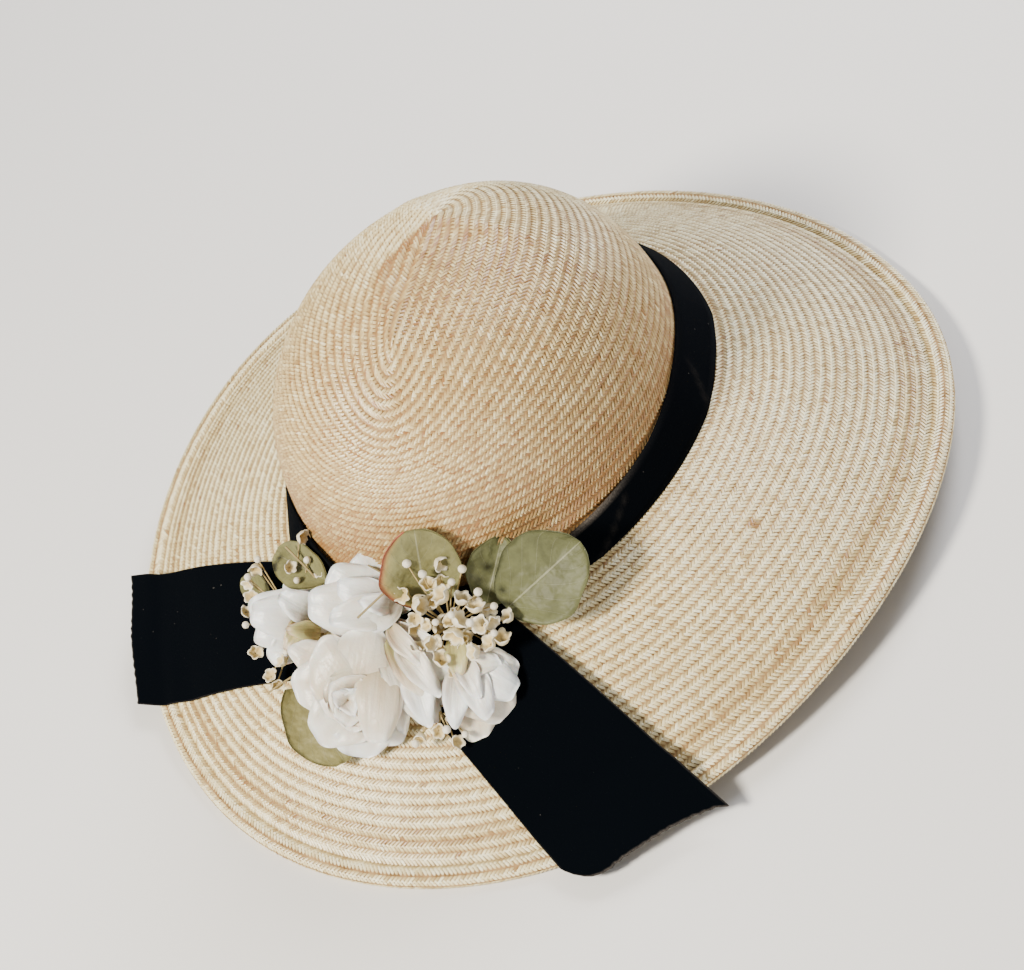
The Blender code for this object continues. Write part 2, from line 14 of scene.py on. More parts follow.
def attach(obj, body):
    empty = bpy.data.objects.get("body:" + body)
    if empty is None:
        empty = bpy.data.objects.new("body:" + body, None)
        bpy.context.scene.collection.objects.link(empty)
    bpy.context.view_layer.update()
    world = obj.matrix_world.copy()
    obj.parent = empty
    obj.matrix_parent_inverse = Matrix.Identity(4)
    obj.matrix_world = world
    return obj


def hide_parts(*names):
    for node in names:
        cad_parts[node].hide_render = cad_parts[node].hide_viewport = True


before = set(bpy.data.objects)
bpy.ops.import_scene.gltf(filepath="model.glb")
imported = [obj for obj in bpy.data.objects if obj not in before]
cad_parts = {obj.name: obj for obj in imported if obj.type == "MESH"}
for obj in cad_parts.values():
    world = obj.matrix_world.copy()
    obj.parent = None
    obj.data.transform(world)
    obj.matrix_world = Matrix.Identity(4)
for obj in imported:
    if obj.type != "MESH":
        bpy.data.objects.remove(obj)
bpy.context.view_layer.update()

# %% [markdown]
# The camera comes next, because everything after it is judged through it. It looks
# down on the hat from over the flower trim, tilted on its side as the hat is seen.
# The angles come from fitting a camera to the outlines of rim, crown and ribbon. The
# lens stays long, so that the near brim doesn't swell.

# %% Which way the camera looks
AIM = Vector((-0.0061, -0.0036, 0.0551))
CAMERA_DISTANCE = 1.09137
CAMERA_TURN = math.radians(146.165)
CAMERA_RISE = math.radians(43.436)
CAMERA_ROLL = math.radians(-30.370)
CAMERA_PAN = 0.00473
CAMERA_TILT = -0.02194
LENS_MM = 94.05
FILM_MM = 36.0


def camera_axes():
    # Right, up and forward as the camera sees them, in the hat's own axes
    back = Vector((
        math.cos(CAMERA_TURN) * math.cos(CAMERA_RISE),
        math.sin(CAMERA_TURN) * math.cos(CAMERA_RISE),
        math.sin(CAMERA_RISE),
    ))
    forward = -back
    right = forward.cross(Vector((0.0, 0.0, 1.0))).normalized()
    up = right.cross(forward)
    rolled = Matrix((
        right * math.cos(CAMERA_ROLL) + up * math.sin(CAMERA_ROLL),
        up * math.cos(CAMERA_ROLL) - right * math.sin(CAMERA_ROLL),
        forward,
    ))
    pan = Matrix((
        (math.cos(CAMERA_PAN), 0.0, -math.sin(CAMERA_PAN)),
        (0.0, 1.0, 0.0),
        (math.sin(CAMERA_PAN), 0.0, math.cos(CAMERA_PAN)),
    ))
    tilt = Matrix((
        (1.0, 0.0, 0.0),
        (0.0, math.cos(CAMERA_TILT), -math.sin(CAMERA_TILT)),
        (0.0, math.sin(CAMERA_TILT), math.cos(CAMERA_TILT)),
    ))
    turned = tilt @ pan @ rolled
    return turned[0], turned[1], turned[2], back


picture_right, picture_up, picture_in, picture_back = camera_axes()
print("the camera looks along", tuple(round(c, 3) for c in picture_in))

# %% Place the camera
camera_data = bpy.data.cameras.new("camera")
camera_data.lens = LENS_MM
camera_data.sensor_fit = "HORIZONTAL"
camera_data.sensor_width = FILM_MM
camera = bpy.data.objects.new("camera", camera_data)
camera.location = AIM + picture_back * CAMERA_DISTANCE
camera.rotation_mode = "QUATERNION"
camera.rotation_quaternion = Matrix((picture_right, picture_up, -picture_in)).transposed().to_quaternion()
bpy.context.scene.collection.objects.link(camera)
bpy.context.scene.camera = camera
print("camera at", tuple(round(c, 3) for c in camera.location))

# %% [markdown]
# Soft daylight shows a weave best when it comes from one side and low enough to put a
# small shadow beside each straw. One wide lamp does that. A second grazes the crown's
# top and the far brim from behind, a third opens the shadows, and the pale
# surroundings do the rest. Each lamp is an area lamp, because its size softens the
# edges of the shadows.

# %% Lamps
# Name, place as seen from the camera (right, up, out, in metres), width, watts, colour
LAMPS = (
    ("key_lamp", (-1.08, -0.08, 1.22), 0.36, 54.0, (1.0, 0.93, 0.81)),
    ("back_lamp", (0.25, 1.4, 0.12), 0.8, 27.0, (0.96, 0.96, 1.0)),
    ("fill_lamp", (0.9, -0.5, 1.2), 1.0, 9.0, (1.0, 0.93, 0.84)),
)


def from_picture(right, up, out):
    # A place given in metres to the right, up and towards the camera from the hat's middle
    return AIM + picture_right * right + picture_up * up + picture_back * out


for name, place, width, watts, colour in LAMPS:
    data = bpy.data.lights.new(name, "AREA")
    data.shape = "DISK"
    data.size = width
    data.energy = watts
    data.color = colour
    lamp = bpy.data.objects.new(name, data)
    lamp.location = from_picture(*place)
    lamp.rotation_mode = "QUATERNION"
    lamp.rotation_quaternion = (AIM - lamp.location).to_track_quat("-Z", "Y")
    bpy.context.scene.collection.objects.link(lamp)
    print(name, "gives", watts, "W from", round((AIM - lamp.location).length, 2), "m")

# %% [markdown]
# The hat lies on a plain pale floor. The floor sits a hair under the rim, so that the
# two faces don't flicker into each other, and it is left out of the hat's body,
# because it isn't part of the hat.

# %% Sky and floor
SKY_COLOUR = (0.97, 0.97, 1.0, 1.0)
SKY_STRENGTH = 0.30
FLOOR_REACH = 9.0
FLOOR_HEIGHT = -0.0003
FLOOR_COLOUR = (0.80, 0.79, 0.77, 1.0)

sky = bpy.data.worlds.new("sky")
sky.use_nodes = True
sky.node_tree.nodes["Background"].inputs["Color"].default_value = SKY_COLOUR
sky.node_tree.nodes["Background"].inputs["Strength"].default_value = SKY_STRENGTH
bpy.context.scene.world = sky

floor_corners = ((-1, -1), (1, -1), (1, 1), (-1, 1))
floor_mesh = bpy.data.meshes.new("floor")
floor_points = [(x * FLOOR_REACH, y * FLOOR_REACH, FLOOR_HEIGHT) for x, y in floor_corners]
floor_mesh.from_pydata(floor_points, [], [(0, 1, 2, 3)])
floor = bpy.data.objects.new("floor", floor_mesh)
bpy.context.scene.collection.objects.link(floor)
floor_paint = bpy.data.materials.new("floor_paint")
floor_paint.use_nodes = True
floor_paint.node_tree.nodes["Principled BSDF"].inputs["Base Color"].default_value = FLOOR_COLOUR
floor_paint.node_tree.nodes["Principled BSDF"].inputs["Roughness"].default_value = 0.9
floor_mesh.materials.append(floor_paint)
print("floor is", 2 * FLOOR_REACH, "m wide")

# %% [markdown]
# Every piece below is a mesh worked out from a few sizes. It could be modelled by hand,
# but numbers keep it true to the solid. A few small helpers save repeating the same
# steps: one makes a mesh from arrays, one makes the faces of a grid of points, and one
# joins two layers of a grid into a thin closed sheet.

# %% Mesh helpers
chance = np.random.default_rng(41)


def new_piece(name, points, faces, materials, tint=None, weave=None, face_material=None):
    # Faces may be an array of quads or triangles. Tint is one number for each point,
    # weave a pair for each corner of each face.
    mesh = bpy.data.meshes.new(name)
    faces = np.asarray(faces, dtype=np.int32)
    mesh.vertices.add(len(points))
    mesh.vertices.foreach_set("co", np.asarray(points, dtype=np.float32).ravel())
    mesh.loops.add(faces.size)
    mesh.loops.foreach_set("vertex_index", faces.ravel())
    mesh.polygons.add(len(faces))
    mesh.polygons.foreach_set("loop_start", np.arange(len(faces), dtype=np.int32) * faces.shape[1])
    mesh.update(calc_edges=True)
    for material in materials:
        mesh.materials.append(material)
    if face_material is not None:
        mesh.polygons.foreach_set("material_index", np.asarray(face_material, dtype=np.int32))
    if tint is not None:
        values = np.asarray(tint, dtype=np.float32)
        mesh.attributes.new("tint", "FLOAT", "POINT").data.foreach_set("value", values)
    if weave is not None:
        layer = mesh.uv_layers.new(name="weave")
        layer.data.foreach_set("uv", np.asarray(weave, dtype=np.float32).ravel())
    mesh.shade_smooth()
    thing = bpy.data.objects.new(name, mesh)
    bpy.context.scene.collection.objects.link(thing)
    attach(thing, "root")
    return thing


def grid_quads(rows, columns, wrap_rows=False, wrap_columns=False):
    r = np.arange(rows if wrap_rows else rows - 1)
    c = np.arange(columns if wrap_columns else columns - 1)
    rr, cc = np.meshgrid(r, c, indexing="ij")
    rn, cn = (rr + 1) % rows, (cc + 1) % columns
    quads = np.stack([rr * columns + cc, rr * columns + cn, rn * columns + cn, rn * columns + cc], -1)
    return quads.reshape(-1, 4)


print("a strip of 3 by 3 points has", len(grid_quads(3, 3)), "quads")

# %% Sheets and smooth steps


def closed_sheet(front, back):
    # Two layers of the same grid, joined round the edge
    rows, columns = front.shape[:2]
    faces = grid_quads(rows, columns)
    size = rows * columns
    border = [(i, 0) for i in range(rows)] + [(rows - 1, j) for j in range(1, columns)]
    border += [(i, columns - 1) for i in range(rows - 2, -1, -1)]
    border += [(0, j) for j in range(columns - 2, 0, -1)]
    ring = np.array([i * columns + j for i, j in border])
    after = np.roll(ring, -1)
    wall = np.stack([ring, after, after + size, ring + size], -1)
    points = np.concatenate([front.reshape(-1, 3), back.reshape(-1, 3)])
    return points, np.concatenate([faces, faces[:, ::-1] + size, wall[:, ::-1]])


def unit(v):
    return v / np.maximum(np.linalg.norm(v, axis=-1, keepdims=True), 1e-12)


def smooth(x):
    # 0 below 0, 1 above 1, and an even curve between
    x = np.clip(x, 0.0, 1.0)
    return x * x * (3.0 - 2.0 * x)


def near_line(plan, start, end):
    # How far plan points are from a straight piece of line
    start, end = np.array(start), np.array(end)
    line = end - start
    t = np.clip(((plan - start) @ line) / (line @ line), 0.0, 1.0)
    return np.linalg.norm(plan - start - t[..., None] * line, axis=-1)


print("halfway up a smooth step the value is", float(smooth(0.5)))

# %% [markdown]
# A finish in Blender is a graph of nodes that ends in one shader. Numbers that are the
# same all over are set on the shader itself. Everything that varies is drawn by nodes:
# noise for patches, a colour ramp to turn a number into a colour, and bump for relief
# that is too fine to model. These helpers each add one such step to a node tree.

# %% Helpers that add nodes


def node_material(name, roughness, **settings):
    # A principled material, with the sockets that are the same all over set at once
    material = bpy.data.materials.new(name)
    material.use_nodes = True
    shader = material.node_tree.nodes["Principled BSDF"]
    shader.inputs["Roughness"].default_value = roughness
    for socket, value in settings.items():
        shader.inputs[socket.replace("_", " ")].default_value = value
    return material, material.node_tree, shader


def own_tint(tree):
    # The tint number that each point of the mesh carries
    node = tree.nodes.new("ShaderNodeAttribute")
    node.attribute_name = "tint"
    return node.outputs["Fac"]


def weave_place(tree):
    node = tree.nodes.new("ShaderNodeUVMap")
    node.uv_map = "weave"
    return node.outputs["UV"]


def split(tree, pair):
    # The two numbers of a weave place, each on its own
    node = tree.nodes.new("ShaderNodeSeparateXYZ")
    tree.links.new(pair, node.inputs["Vector"])
    return node.outputs["X"], node.outputs["Y"]


def noise(tree, scale, detail=3.0, rough=0.5, stretch=(1.0, 1.0, 1.0), place=None):
    if place is None:
        place = tree.nodes.new("ShaderNodeTexCoord").outputs["Object"]
    squeeze = tree.nodes.new("ShaderNodeMapping")
    squeeze.inputs["Scale"].default_value = stretch
    texture = tree.nodes.new("ShaderNodeTexNoise")
    texture.inputs["Scale"].default_value = scale
    texture.inputs["Detail"].default_value = detail
    texture.inputs["Roughness"].default_value = rough
    tree.links.new(place, squeeze.inputs["Vector"])
    tree.links.new(squeeze.outputs["Vector"], texture.inputs["Vector"])
    return texture.outputs["Fac"]


print("finishes can now use tints, places and noise")

# %% Helpers that mix colours and numbers


def ramp(tree, value, stops):
    # Stops are pairs of a place from 0 to 1 and a colour
    node = tree.nodes.new("ShaderNodeValToRGB")
    while len(node.color_ramp.elements) < len(stops):
        node.color_ramp.elements.new(0.5)
    for element, (place, colour) in zip(node.color_ramp.elements, stops):
        element.position = place
        element.color = (*colour, 1.0)
    tree.links.new(value, node.inputs["Fac"])
    return node.outputs["Color"]


def blend(tree, amount, first, second, mode="MIX"):
    node = tree.nodes.new("ShaderNodeMix")
    node.data_type = "RGBA"
    node.blend_type = mode
    for socket, value in (("Factor", amount), ("A", first), ("B", second)):
        target = [s for s in node.inputs if s.name == socket and s.enabled][0]
        if isinstance(value, bpy.types.NodeSocket):
            tree.links.new(value, target)
        elif socket == "Factor":
            target.default_value = value
        else:
            target.default_value = (*value, 1.0)
    return [s for s in node.outputs if s.enabled][0]


def sums(tree, operation, first, second=0.0, third=0.0):
    node = tree.nodes.new("ShaderNodeMath")
    node.operation = operation
    for socket, value in zip(node.inputs, (first, second, third)):
        if isinstance(value, bpy.types.NodeSocket):
            tree.links.new(value, socket)
        else:
            socket.default_value = value
    return node.outputs["Value"]


def bump(tree, shader, height, distance, strength=1.0):
    node = tree.nodes.new("ShaderNodeBump")
    node.inputs["Distance"].default_value = distance
    node.inputs["Strength"].default_value = strength
    tree.links.new(height, node.inputs["Height"])
    tree.links.new(node.outputs["Normal"], shader.inputs["Normal"])


print("finishes can now use ramps, blends, sums and bump")

# %% [markdown]
# Straw is a split stem: pale, a little glossy, streaked along its length, and no two
# are the same colour. Each straw that shows carries its own tint number, so the colour
# can differ from straw to straw, while slow noise adds the tan, sun-worn patches. The
# crown is a warmer gold than the brim, so each has its own set of tones.

# %% Straw that shows
STRAW_LIGHT = (0.865, 0.745, 0.43)
STRAW_MIDDLE = (0.65, 0.487, 0.23)
TONE_STEPS = (0.0, 0.22, 0.45, 0.70, 1.0)
# From the darkest straw to the palest
CROWN_TONES = ((0.34, 0.16, 0.05), (0.465, 0.31, 0.12), STRAW_MIDDLE, STRAW_LIGHT, (0.98, 0.93, 0.69))
BRIM_TONES = (
    (0.32, 0.165, 0.055), (0.44, 0.31, 0.126), (0.625, 0.485, 0.235),
    (0.862, 0.752, 0.437), (0.975, 0.936, 0.695),
)
WORN_MOST = (0.36, 0.36, 0.36)


def straw_material(name, tones):
    material, tree, shader = node_material(name, 0.33, Specular_IOR_Level=0.6)
    own = ramp(tree, own_tint(tree), list(zip(TONE_STEPS, tones)))
    patches = noise(tree, 11.0, 4.0, rough=0.6)
    worn = ramp(tree, patches, [(0.48, (0.0, 0.0, 0.0)), (0.80, WORN_MOST)])
    tree.links.new(blend(tree, worn, own, tones[1]), shader.inputs["Base Color"])
    bump(tree, shader, noise(tree, 900.0, 2.0), 0.00025, 0.5)
    return material


crown_paint = straw_material("crown_straw", CROWN_TONES)
brim_paint = straw_material("brim_straw", BRIM_TONES)
print("made", crown_paint.name, "and", brim_paint.name)

# %% [markdown]
# Between the straws little light gets down, so the wall behind them is painted dark,
# as painted shade. Its underside shows the same plait without any straw of its own:
# the pattern is drawn from how far along and across the rows a point is, which costs no
# faces on a side that is rarely seen. That plait is painted pale along each straw's
# crest and dark between the straws, as painted light and painted shade.

# %% Straw between the rows and on the underside
STRAW_GAP_SHADE = (0.17, 0.09, 0.03)
GAP_SHADE_PALE = (0.46, 0.29, 0.13)

gap_shade_paint, tree, shader = node_material("straw_gap_shade", 0.8, Specular_IOR_Level=0.2)
# The wall between the straws is painted dark: painted shade
shade = ramp(tree, noise(tree, 260.0, 3.0), [(0.3, STRAW_GAP_SHADE), (0.7, GAP_SHADE_PALE)])
tree.links.new(shade, shader.inputs["Base Color"])

under_paint, tree, shader = node_material("straw_underside", 0.55, Specular_IOR_Level=0.3)
run_along, run_across = split(tree, weave_place(tree))
across = sums(tree, "FRACT", run_across)
lean = sums(tree, "PINGPONG", run_across, 1.0)
along = sums(tree, "FRACT", sums(tree, "ADD", run_along, lean))
crest_along = sums(tree, "SINE", sums(tree, "MULTIPLY", along, math.pi))
crest_across = sums(tree, "SINE", sums(tree, "MULTIPLY", across, math.pi))
plait = sums(tree, "MULTIPLY", crest_along, crest_across)
# Pale on each straw's crest, dark between the straws: painted light and painted shade
plait_colour = ramp(tree, plait, [(0.0, STRAW_GAP_SHADE), (0.35, STRAW_MIDDLE), (1.0, STRAW_LIGHT)])
tree.links.new(plait_colour, shader.inputs["Base Color"])
bump(tree, shader, plait, 0.0009, 1.0)
print("made", gap_shade_paint.name, "and", under_paint.name)

# %% [markdown]
# The crown's shape comes from the solid's own sizes: a side that flares to the brim
# under the ribbon, and a dome over it. The dome leans a little and carries low ridges
# that meet at a corner near its tip, where the straw was folded when it was blocked.
# It could be sculpted, but a formula gives every row its exact place.

# %% Sizes of the crown
# All sizes are in metres. The crown's heights are over the headline, where it meets the brim.
SHIFT = np.array((-0.0061, -0.0036, 0.0))
HEADLINE_HEIGHT = 0.0551
HEADLINE_HALF = np.array((0.0872, 0.1012))
CROWN_HALF = np.array((0.0808, 0.0895))
CROWN_HEIGHT = 0.0974
DOME_START = 0.0119
CROWN_FOOT = 0.0015
FLARE_TOP = 0.0235
FLARE_POWER = 1.4
DOME_PLAN_POWER = 2.53
DOME_SIDE_POWER = 2.18
CROWN_LEAN = np.array((-0.0031, 0.0013))
RIDGE_HEIGHT = 0.0022
RIDGE_WIDTH = 0.0055
TIP_CORNER = (0.004, -0.026)
TIP_RIDGES = (
    (TIP_CORNER, (0.008, 0.006)),
    ((0.008, 0.006), (-0.016, 0.034)),
    (TIP_CORNER, (-0.030, -0.032)),
    (TIP_CORNER, (0.034, -0.040)),
)
WALL = 0.0018
print("crown is", round(CROWN_HEIGHT * 1000), "mm over the headline")

# %% Height of the dome and its ridges
HALVINGS = 30


def tip_ridge(plan):
    near = np.full(plan.shape[:-1], 1.0)
    for start, end in TIP_RIDGES:
        near = np.minimum(near, near_line(plan, start, end))
    return RIDGE_HEIGHT * np.exp(-((near / RIDGE_WIDTH) ** 2))


def dome_height(plan, near):
    # Height over the headline of the dome above a plan point. The dome leans, so its
    # height is found by halving the gap between a level inside it and one over it.
    # Near is the share of the dome's height where the row is meant to be.
    low = np.full(plan.shape[:-1], 0.6 * near)
    high = np.ones(plan.shape[:-1])
    for _ in range(HALVINGS):
        rise = (low + high) / 2.0
        out = np.linalg.norm((plan - CROWN_LEAN * rise[..., None]) / CROWN_HALF, axis=-1)
        inside = out ** DOME_PLAN_POWER + rise ** DOME_SIDE_POWER < 1.0
        low = np.where(inside, rise, low)
        high = np.where(inside, high, rise)
    rise = near + (low - near) * smooth((near - 0.15) / 0.08)
    return DOME_START + (CROWN_HEIGHT - DOME_START) * rise, rise


print("the ridges stand", RIDGE_HEIGHT * 1000, "mm over the dome")

# %% [markdown]
# The rows of plait run round the crown and close at the top. They close on a short
# line, the spine, rather than on a point, so they turn sharply at the spine's ends and
# give the tip its corner. Rows are set at equal steps up the side, and their points at
# equal steps round it, so that no straw comes out stretched.

# %% One row round the crown
AROUND = 512
SPINE_MIDDLE = np.array((-0.0029, 0.0027))
SPINE_HALF = np.array((-0.0100, 0.0300))
SPINE_POWER = 4
RIDGE_POWER = 6


def full_circle(count):
    return np.linspace(0.0, 2.0 * np.pi, count, endpoint=False)


def on_circle(angle):
    return np.stack([np.cos(angle), np.sin(angle)], -1)


def flare_share(height):
    # How much of the foot's extra width is left at a height over the headline
    return np.maximum(0.0, (FLARE_TOP - height) / FLARE_TOP) ** FLARE_POWER


def crown_ring(height, share, spine):
    # One closed row: share is the dome's width left, spine how far the row closes on the spine
    angle = full_circle(AROUND)
    circle = on_circle(angle)
    flare = flare_share(height)
    if height <= DOME_START:
        plan = circle * (CROWN_HALF + (HEADLINE_HALF - CROWN_HALF) * flare)
        level = np.full(AROUND, height)
        rise = np.zeros(AROUND)
    else:
        own_rise = (height - DOME_START) / (CROWN_HEIGHT - DOME_START)
        heading = math.atan2(SPINE_HALF[1], SPINE_HALF[0])
        closing = SPINE_MIDDLE + SPINE_HALF * np.cos(angle - heading)[:, None]
        plan = circle * CROWN_HALF * share + CROWN_LEAN * own_rise + closing * spine
        level, rise = dome_height(plan, own_rise)
        plan = plan + circle * (HEADLINE_HALF - CROWN_HALF) * flare
    z = HEADLINE_HEIGHT + level + tip_ridge(plan) * rise ** RIDGE_POWER
    return np.concatenate([plan, z[:, None]], -1)


print("each row of the crown has", AROUND, "points")

# %% All rows of the crown
HALF_ROW = 0.00215
SIDE_STEPS = 40
DOME_STEPS = 600


def evenly(ring):
    # The same closed row with its points at equal steps along it
    closed = np.concatenate([ring, ring[:1]])
    run = np.concatenate([[0.0], np.cumsum(np.linalg.norm(np.diff(closed, axis=0), axis=1))])
    marks = np.linspace(0.0, run[-1], len(ring), endpoint=False)
    return np.stack([np.interp(marks, run, closed[:, i]) for i in range(3)], -1)


def crown_rows():
    # Rows at equal steps up the crown's side and over its dome
    turn = np.linspace(0.0, np.pi / 2.0, DOME_STEPS)[1:]
    side = np.linspace(CROWN_FOOT, DOME_START, SIDE_STEPS)
    dome = DOME_START + (CROWN_HEIGHT - DOME_START) * np.sin(turn) ** (2.0 / DOME_SIDE_POWER)
    height = np.concatenate([side, dome])
    share = np.concatenate([np.ones(SIDE_STEPS), np.cos(turn) ** (2.0 / DOME_PLAN_POWER)])
    width = share * CROWN_HALF.mean()
    width[:SIDE_STEPS] += (HEADLINE_HALF - CROWN_HALF).mean() * flare_share(side)
    run = np.concatenate([[0.0], np.cumsum(np.hypot(np.diff(width), np.diff(height)))])
    count = int(round(run[-1] / HALF_ROW))
    rings = []
    for mark in np.linspace(0.0, run[-1], count + 1):
        h = float(np.interp(mark, run, height))
        s = float(np.interp(mark, run, share))
        up = max(0.0, (h - DOME_START) / (CROWN_HEIGHT - DOME_START))
        rings.append(evenly(crown_ring(h, s, up ** SPINE_POWER)))
    return np.array(rings) + SHIFT


crown_outer = crown_rows()
print("the crown has", len(crown_outer) - 1, "half rows")

# %% [markdown]
# The straw itself could be a bump texture, but the rows catch light as real relief and
# their shadows give the hat its character, so each straw that shows is a small mesh:
# an arched strip whose ends dive under the next row. Rows lean left and right by
# turns, as plaited straw does. Arrays make all the straws of a piece in one step.

# %% Places and directions on a set of rows


def row_normals(rows, up):
    along = np.roll(rows, -1, axis=1) - np.roll(rows, 1, axis=1)
    across = np.gradient(rows, axis=0)
    return unit(np.cross(along, across)) * up


def row_lengths(rows):
    return np.linalg.norm(np.roll(rows, -1, axis=1) - rows, axis=2).sum(axis=1)


def on_rows(grid, row, turn):
    # Point of the surface at a row number and a share of the way round it
    row = np.clip(row, 0.0, len(grid) - 1.001)
    low = row.astype(int)
    part = (row - low)[..., None]
    place = (turn % 1.0) * grid.shape[1]
    here = place.astype(int) % grid.shape[1]
    step = (place - np.floor(place))[..., None]
    there = (here + 1) % grid.shape[1]
    first = grid[low, here] * (1.0 - step) + grid[low, there] * step
    second = grid[low + 1, here] * (1.0 - step) + grid[low + 1, there] * step
    return first * (1.0 - part) + second * part


print("the crown's lowest row is", round(float(row_lengths(crown_outer)[0]), 3), "m round")

# %% Sizes and tones of a straw
STRAW_PITCH = 0.0018
STRAW_HALF_WIDTH = 0.00057
STRAW_ARCH = 0.00040
# Half rows that one straw spans, so that neighbours overlap
STRAW_REACH = 1.44
STRAW_SPREAD = np.array((0.0, 0.5, 1.0))
STRAW_SIDES = np.array((-1.0, 0.0, 1.0))
FEWEST_STRAWS = 12
PLACE_SLIP = 0.06
ARCH_LEAST, ARCH_MOST = 0.75, 1.25
END_WIDTH = 0.80
SIDE_FLATTEN = 0.6
SIDE_SINK = 0.00022
# A rib rises from its grooves to its crest
RIB_RISE = 0.00130
RIB_DROP = 0.00072
RIB_POWER = 1.3
# Tones run from 0, dark, to 1, pale
USUAL_TONE, TONE_SPREAD = 0.79, 0.12
DARK_SHARE, DARK_DROP = 0.010, 0.40
# Odd half rows painted paler, even ones darker: painted light and painted shade on the two faces of each rib
ODD_ROW_PAINTED_LIGHT, EVEN_ROW_PAINTED_SHADE = 0.10, -0.13
# How much darker a straw is painted towards its groove end: painted shade
GROOVE_PAINTED_SHADE = 0.74
print("a straw is", round(STRAW_HALF_WIDTH * 2000, 2), "mm wide")

# %% Weave the straws of one piece


def weave_straws(name, rows, up, paint, zone):
    # Half rows lean left and right by turns, and each pair of them stands up as one
    # rib with a groove on both sides. Odd half rows are painted paler and even ones
    # darker, as painted light and painted shade on the rib's two faces, and each straw
    # is painted darker towards its groove end, as painted shade. Zone gives how much
    # paler or darker a place is.
    normals = row_normals(rows, up)
    lengths = row_lengths(rows)
    share = STRAW_SPREAD - 0.5
    arch = np.sin(np.pi * STRAW_SPREAD)
    width = STRAW_HALF_WIDTH * (END_WIDTH + (1.0 - END_WIDTH) * arch)
    flat = 1.0 - SIDE_FLATTEN * STRAW_SIDES ** 2
    points, tints = [], []
    for j in range(len(rows) - 1):
        odd = j % 2
        lean = 1.0 if odd else -1.0
        length = (lengths[j] + lengths[j + 1]) / 2.0
        count = max(FEWEST_STRAWS, int(round(length / STRAW_PITCH)))
        middle = (np.arange(count) + 0.5 * odd + chance.uniform(-PLACE_SLIP, PLACE_SLIP, count)) / count
        row = j + 0.5 + share * STRAW_REACH + np.zeros((count, 1))
        turn = middle[:, None] + lean * share * STRAW_REACH * HALF_ROW / length
        place = on_rows(rows, row, turn)
        normal = unit(on_rows(normals, row, turn))
        side = unit(np.cross(normal[:, 1], place[:, -1] - place[:, 0]))[:, None, None, :]
        to_crest = 1.0 - STRAW_SPREAD if odd else STRAW_SPREAD
        rise = STRAW_ARCH * arch * chance.uniform(ARCH_LEAST, ARCH_MOST, (count, 1))
        rise = rise + RIB_RISE * to_crest ** RIB_POWER - RIB_DROP
        height = rise[:, :, None] * flat - SIDE_SINK * STRAW_SIDES ** 2
        body = place[:, :, None, :] + side * (width[:, None] * STRAW_SIDES)[None, :, :, None]
        points.append((body + normal[:, :, None, :] * height[..., None]).reshape(-1, 3))
        own = chance.normal(USUAL_TONE, TONE_SPREAD, count)
        own = own - DARK_DROP * (chance.random(count) < DARK_SHARE)
        # Paler on odd half rows and darker on even ones: painted light and painted shade
        own = own + (ODD_ROW_PAINTED_LIGHT if odd else EVEN_ROW_PAINTED_SHADE)
        # Each straw darker towards its groove end: painted shade
        along = own[:, None] - GROOVE_PAINTED_SHADE * (1.0 - to_crest) ** 2 + zone(j, place)
        tints.append(np.repeat(np.clip(along, 0.0, 1.0), 3, axis=1).ravel())
    points = np.concatenate(points)
    strip = grid_quads(3, 3)
    if up < 0:
        strip = strip[:, ::-1]
    faces = (np.arange(len(points) // 9)[:, None, None] * 9 + strip).reshape(-1, 4)
    piece = new_piece(name, points, faces, [paint], tint=np.concatenate(tints))
    print(name, "has", len(points) // 9, "straws")
    return piece


print("one straw has", len(grid_quads(3, 3)), "faces")

# %% The wall behind the straws
BEHIND_STRAWS = 0.00035


def woven_shell(name, rings, row_numbers, gap_rings):
    # Rings run over the outside and back along the inside. The first ones, as many as
    # gap_rings, are painted dark as shade, and the others show the plait of the underside.
    count = rings.shape[1]
    faces = grid_quads(len(rings), count, True, True)
    turns = np.maximum(FEWEST_STRAWS, np.round(row_lengths(rings) / STRAW_PITCH))
    row = faces[:, 0] // count
    step = faces[:, 0] % count
    left = step / count * turns[row]
    right = (step + 1) / count * turns[row]
    low = row_numbers[row]
    high = row_numbers[(row + 1) % len(rings)]
    high = np.where(np.abs(high - low) > 1.5, low, high)
    corners = ((left, low), (right, low), (right, high), (left, high))
    piece = new_piece(
        name, rings.reshape(-1, 3), faces, [gap_shade_paint, under_paint],
        weave=np.stack([np.stack(pair, -1) for pair in corners], 1),
        face_material=(row >= gap_rings).astype(np.int32),
    )
    print(name, "has", len(faces), "faces")


print("the walls lie", BEHIND_STRAWS * 1000, "mm behind the rows")

# %% [markdown]
# The crown isn't one even gold. Its straws are darker and worn along the creases of
# the tip, where hands take hold of it. All over it is a shade darker than the brim,
# and just over the ribbon it is painted darker and warmer still, as painted shade.
# Near the tip the straws are painted paler, as a painted sheen, and the plane in
# front of the corner darker, as painted shade. A function of place gives each straw
# that share of tone, which is simpler than painting the mesh.

# %% Tones of the crown
TIP_LEVEL = 0.05
PAINTED_SHEEN_REACH = 0.050
FACET_BLUR = 0.003
# How much darker a crease is and how far that reaches, for the first two ridges
CREASE_TONES = ((0.55, 0.0016), (0.16, 0.0013))


def left_of(off, line):
    # How far to the left of a line places are, measured from its start
    return (off[..., 1] * line[0] - off[..., 0] * line[1]) / np.linalg.norm(line)


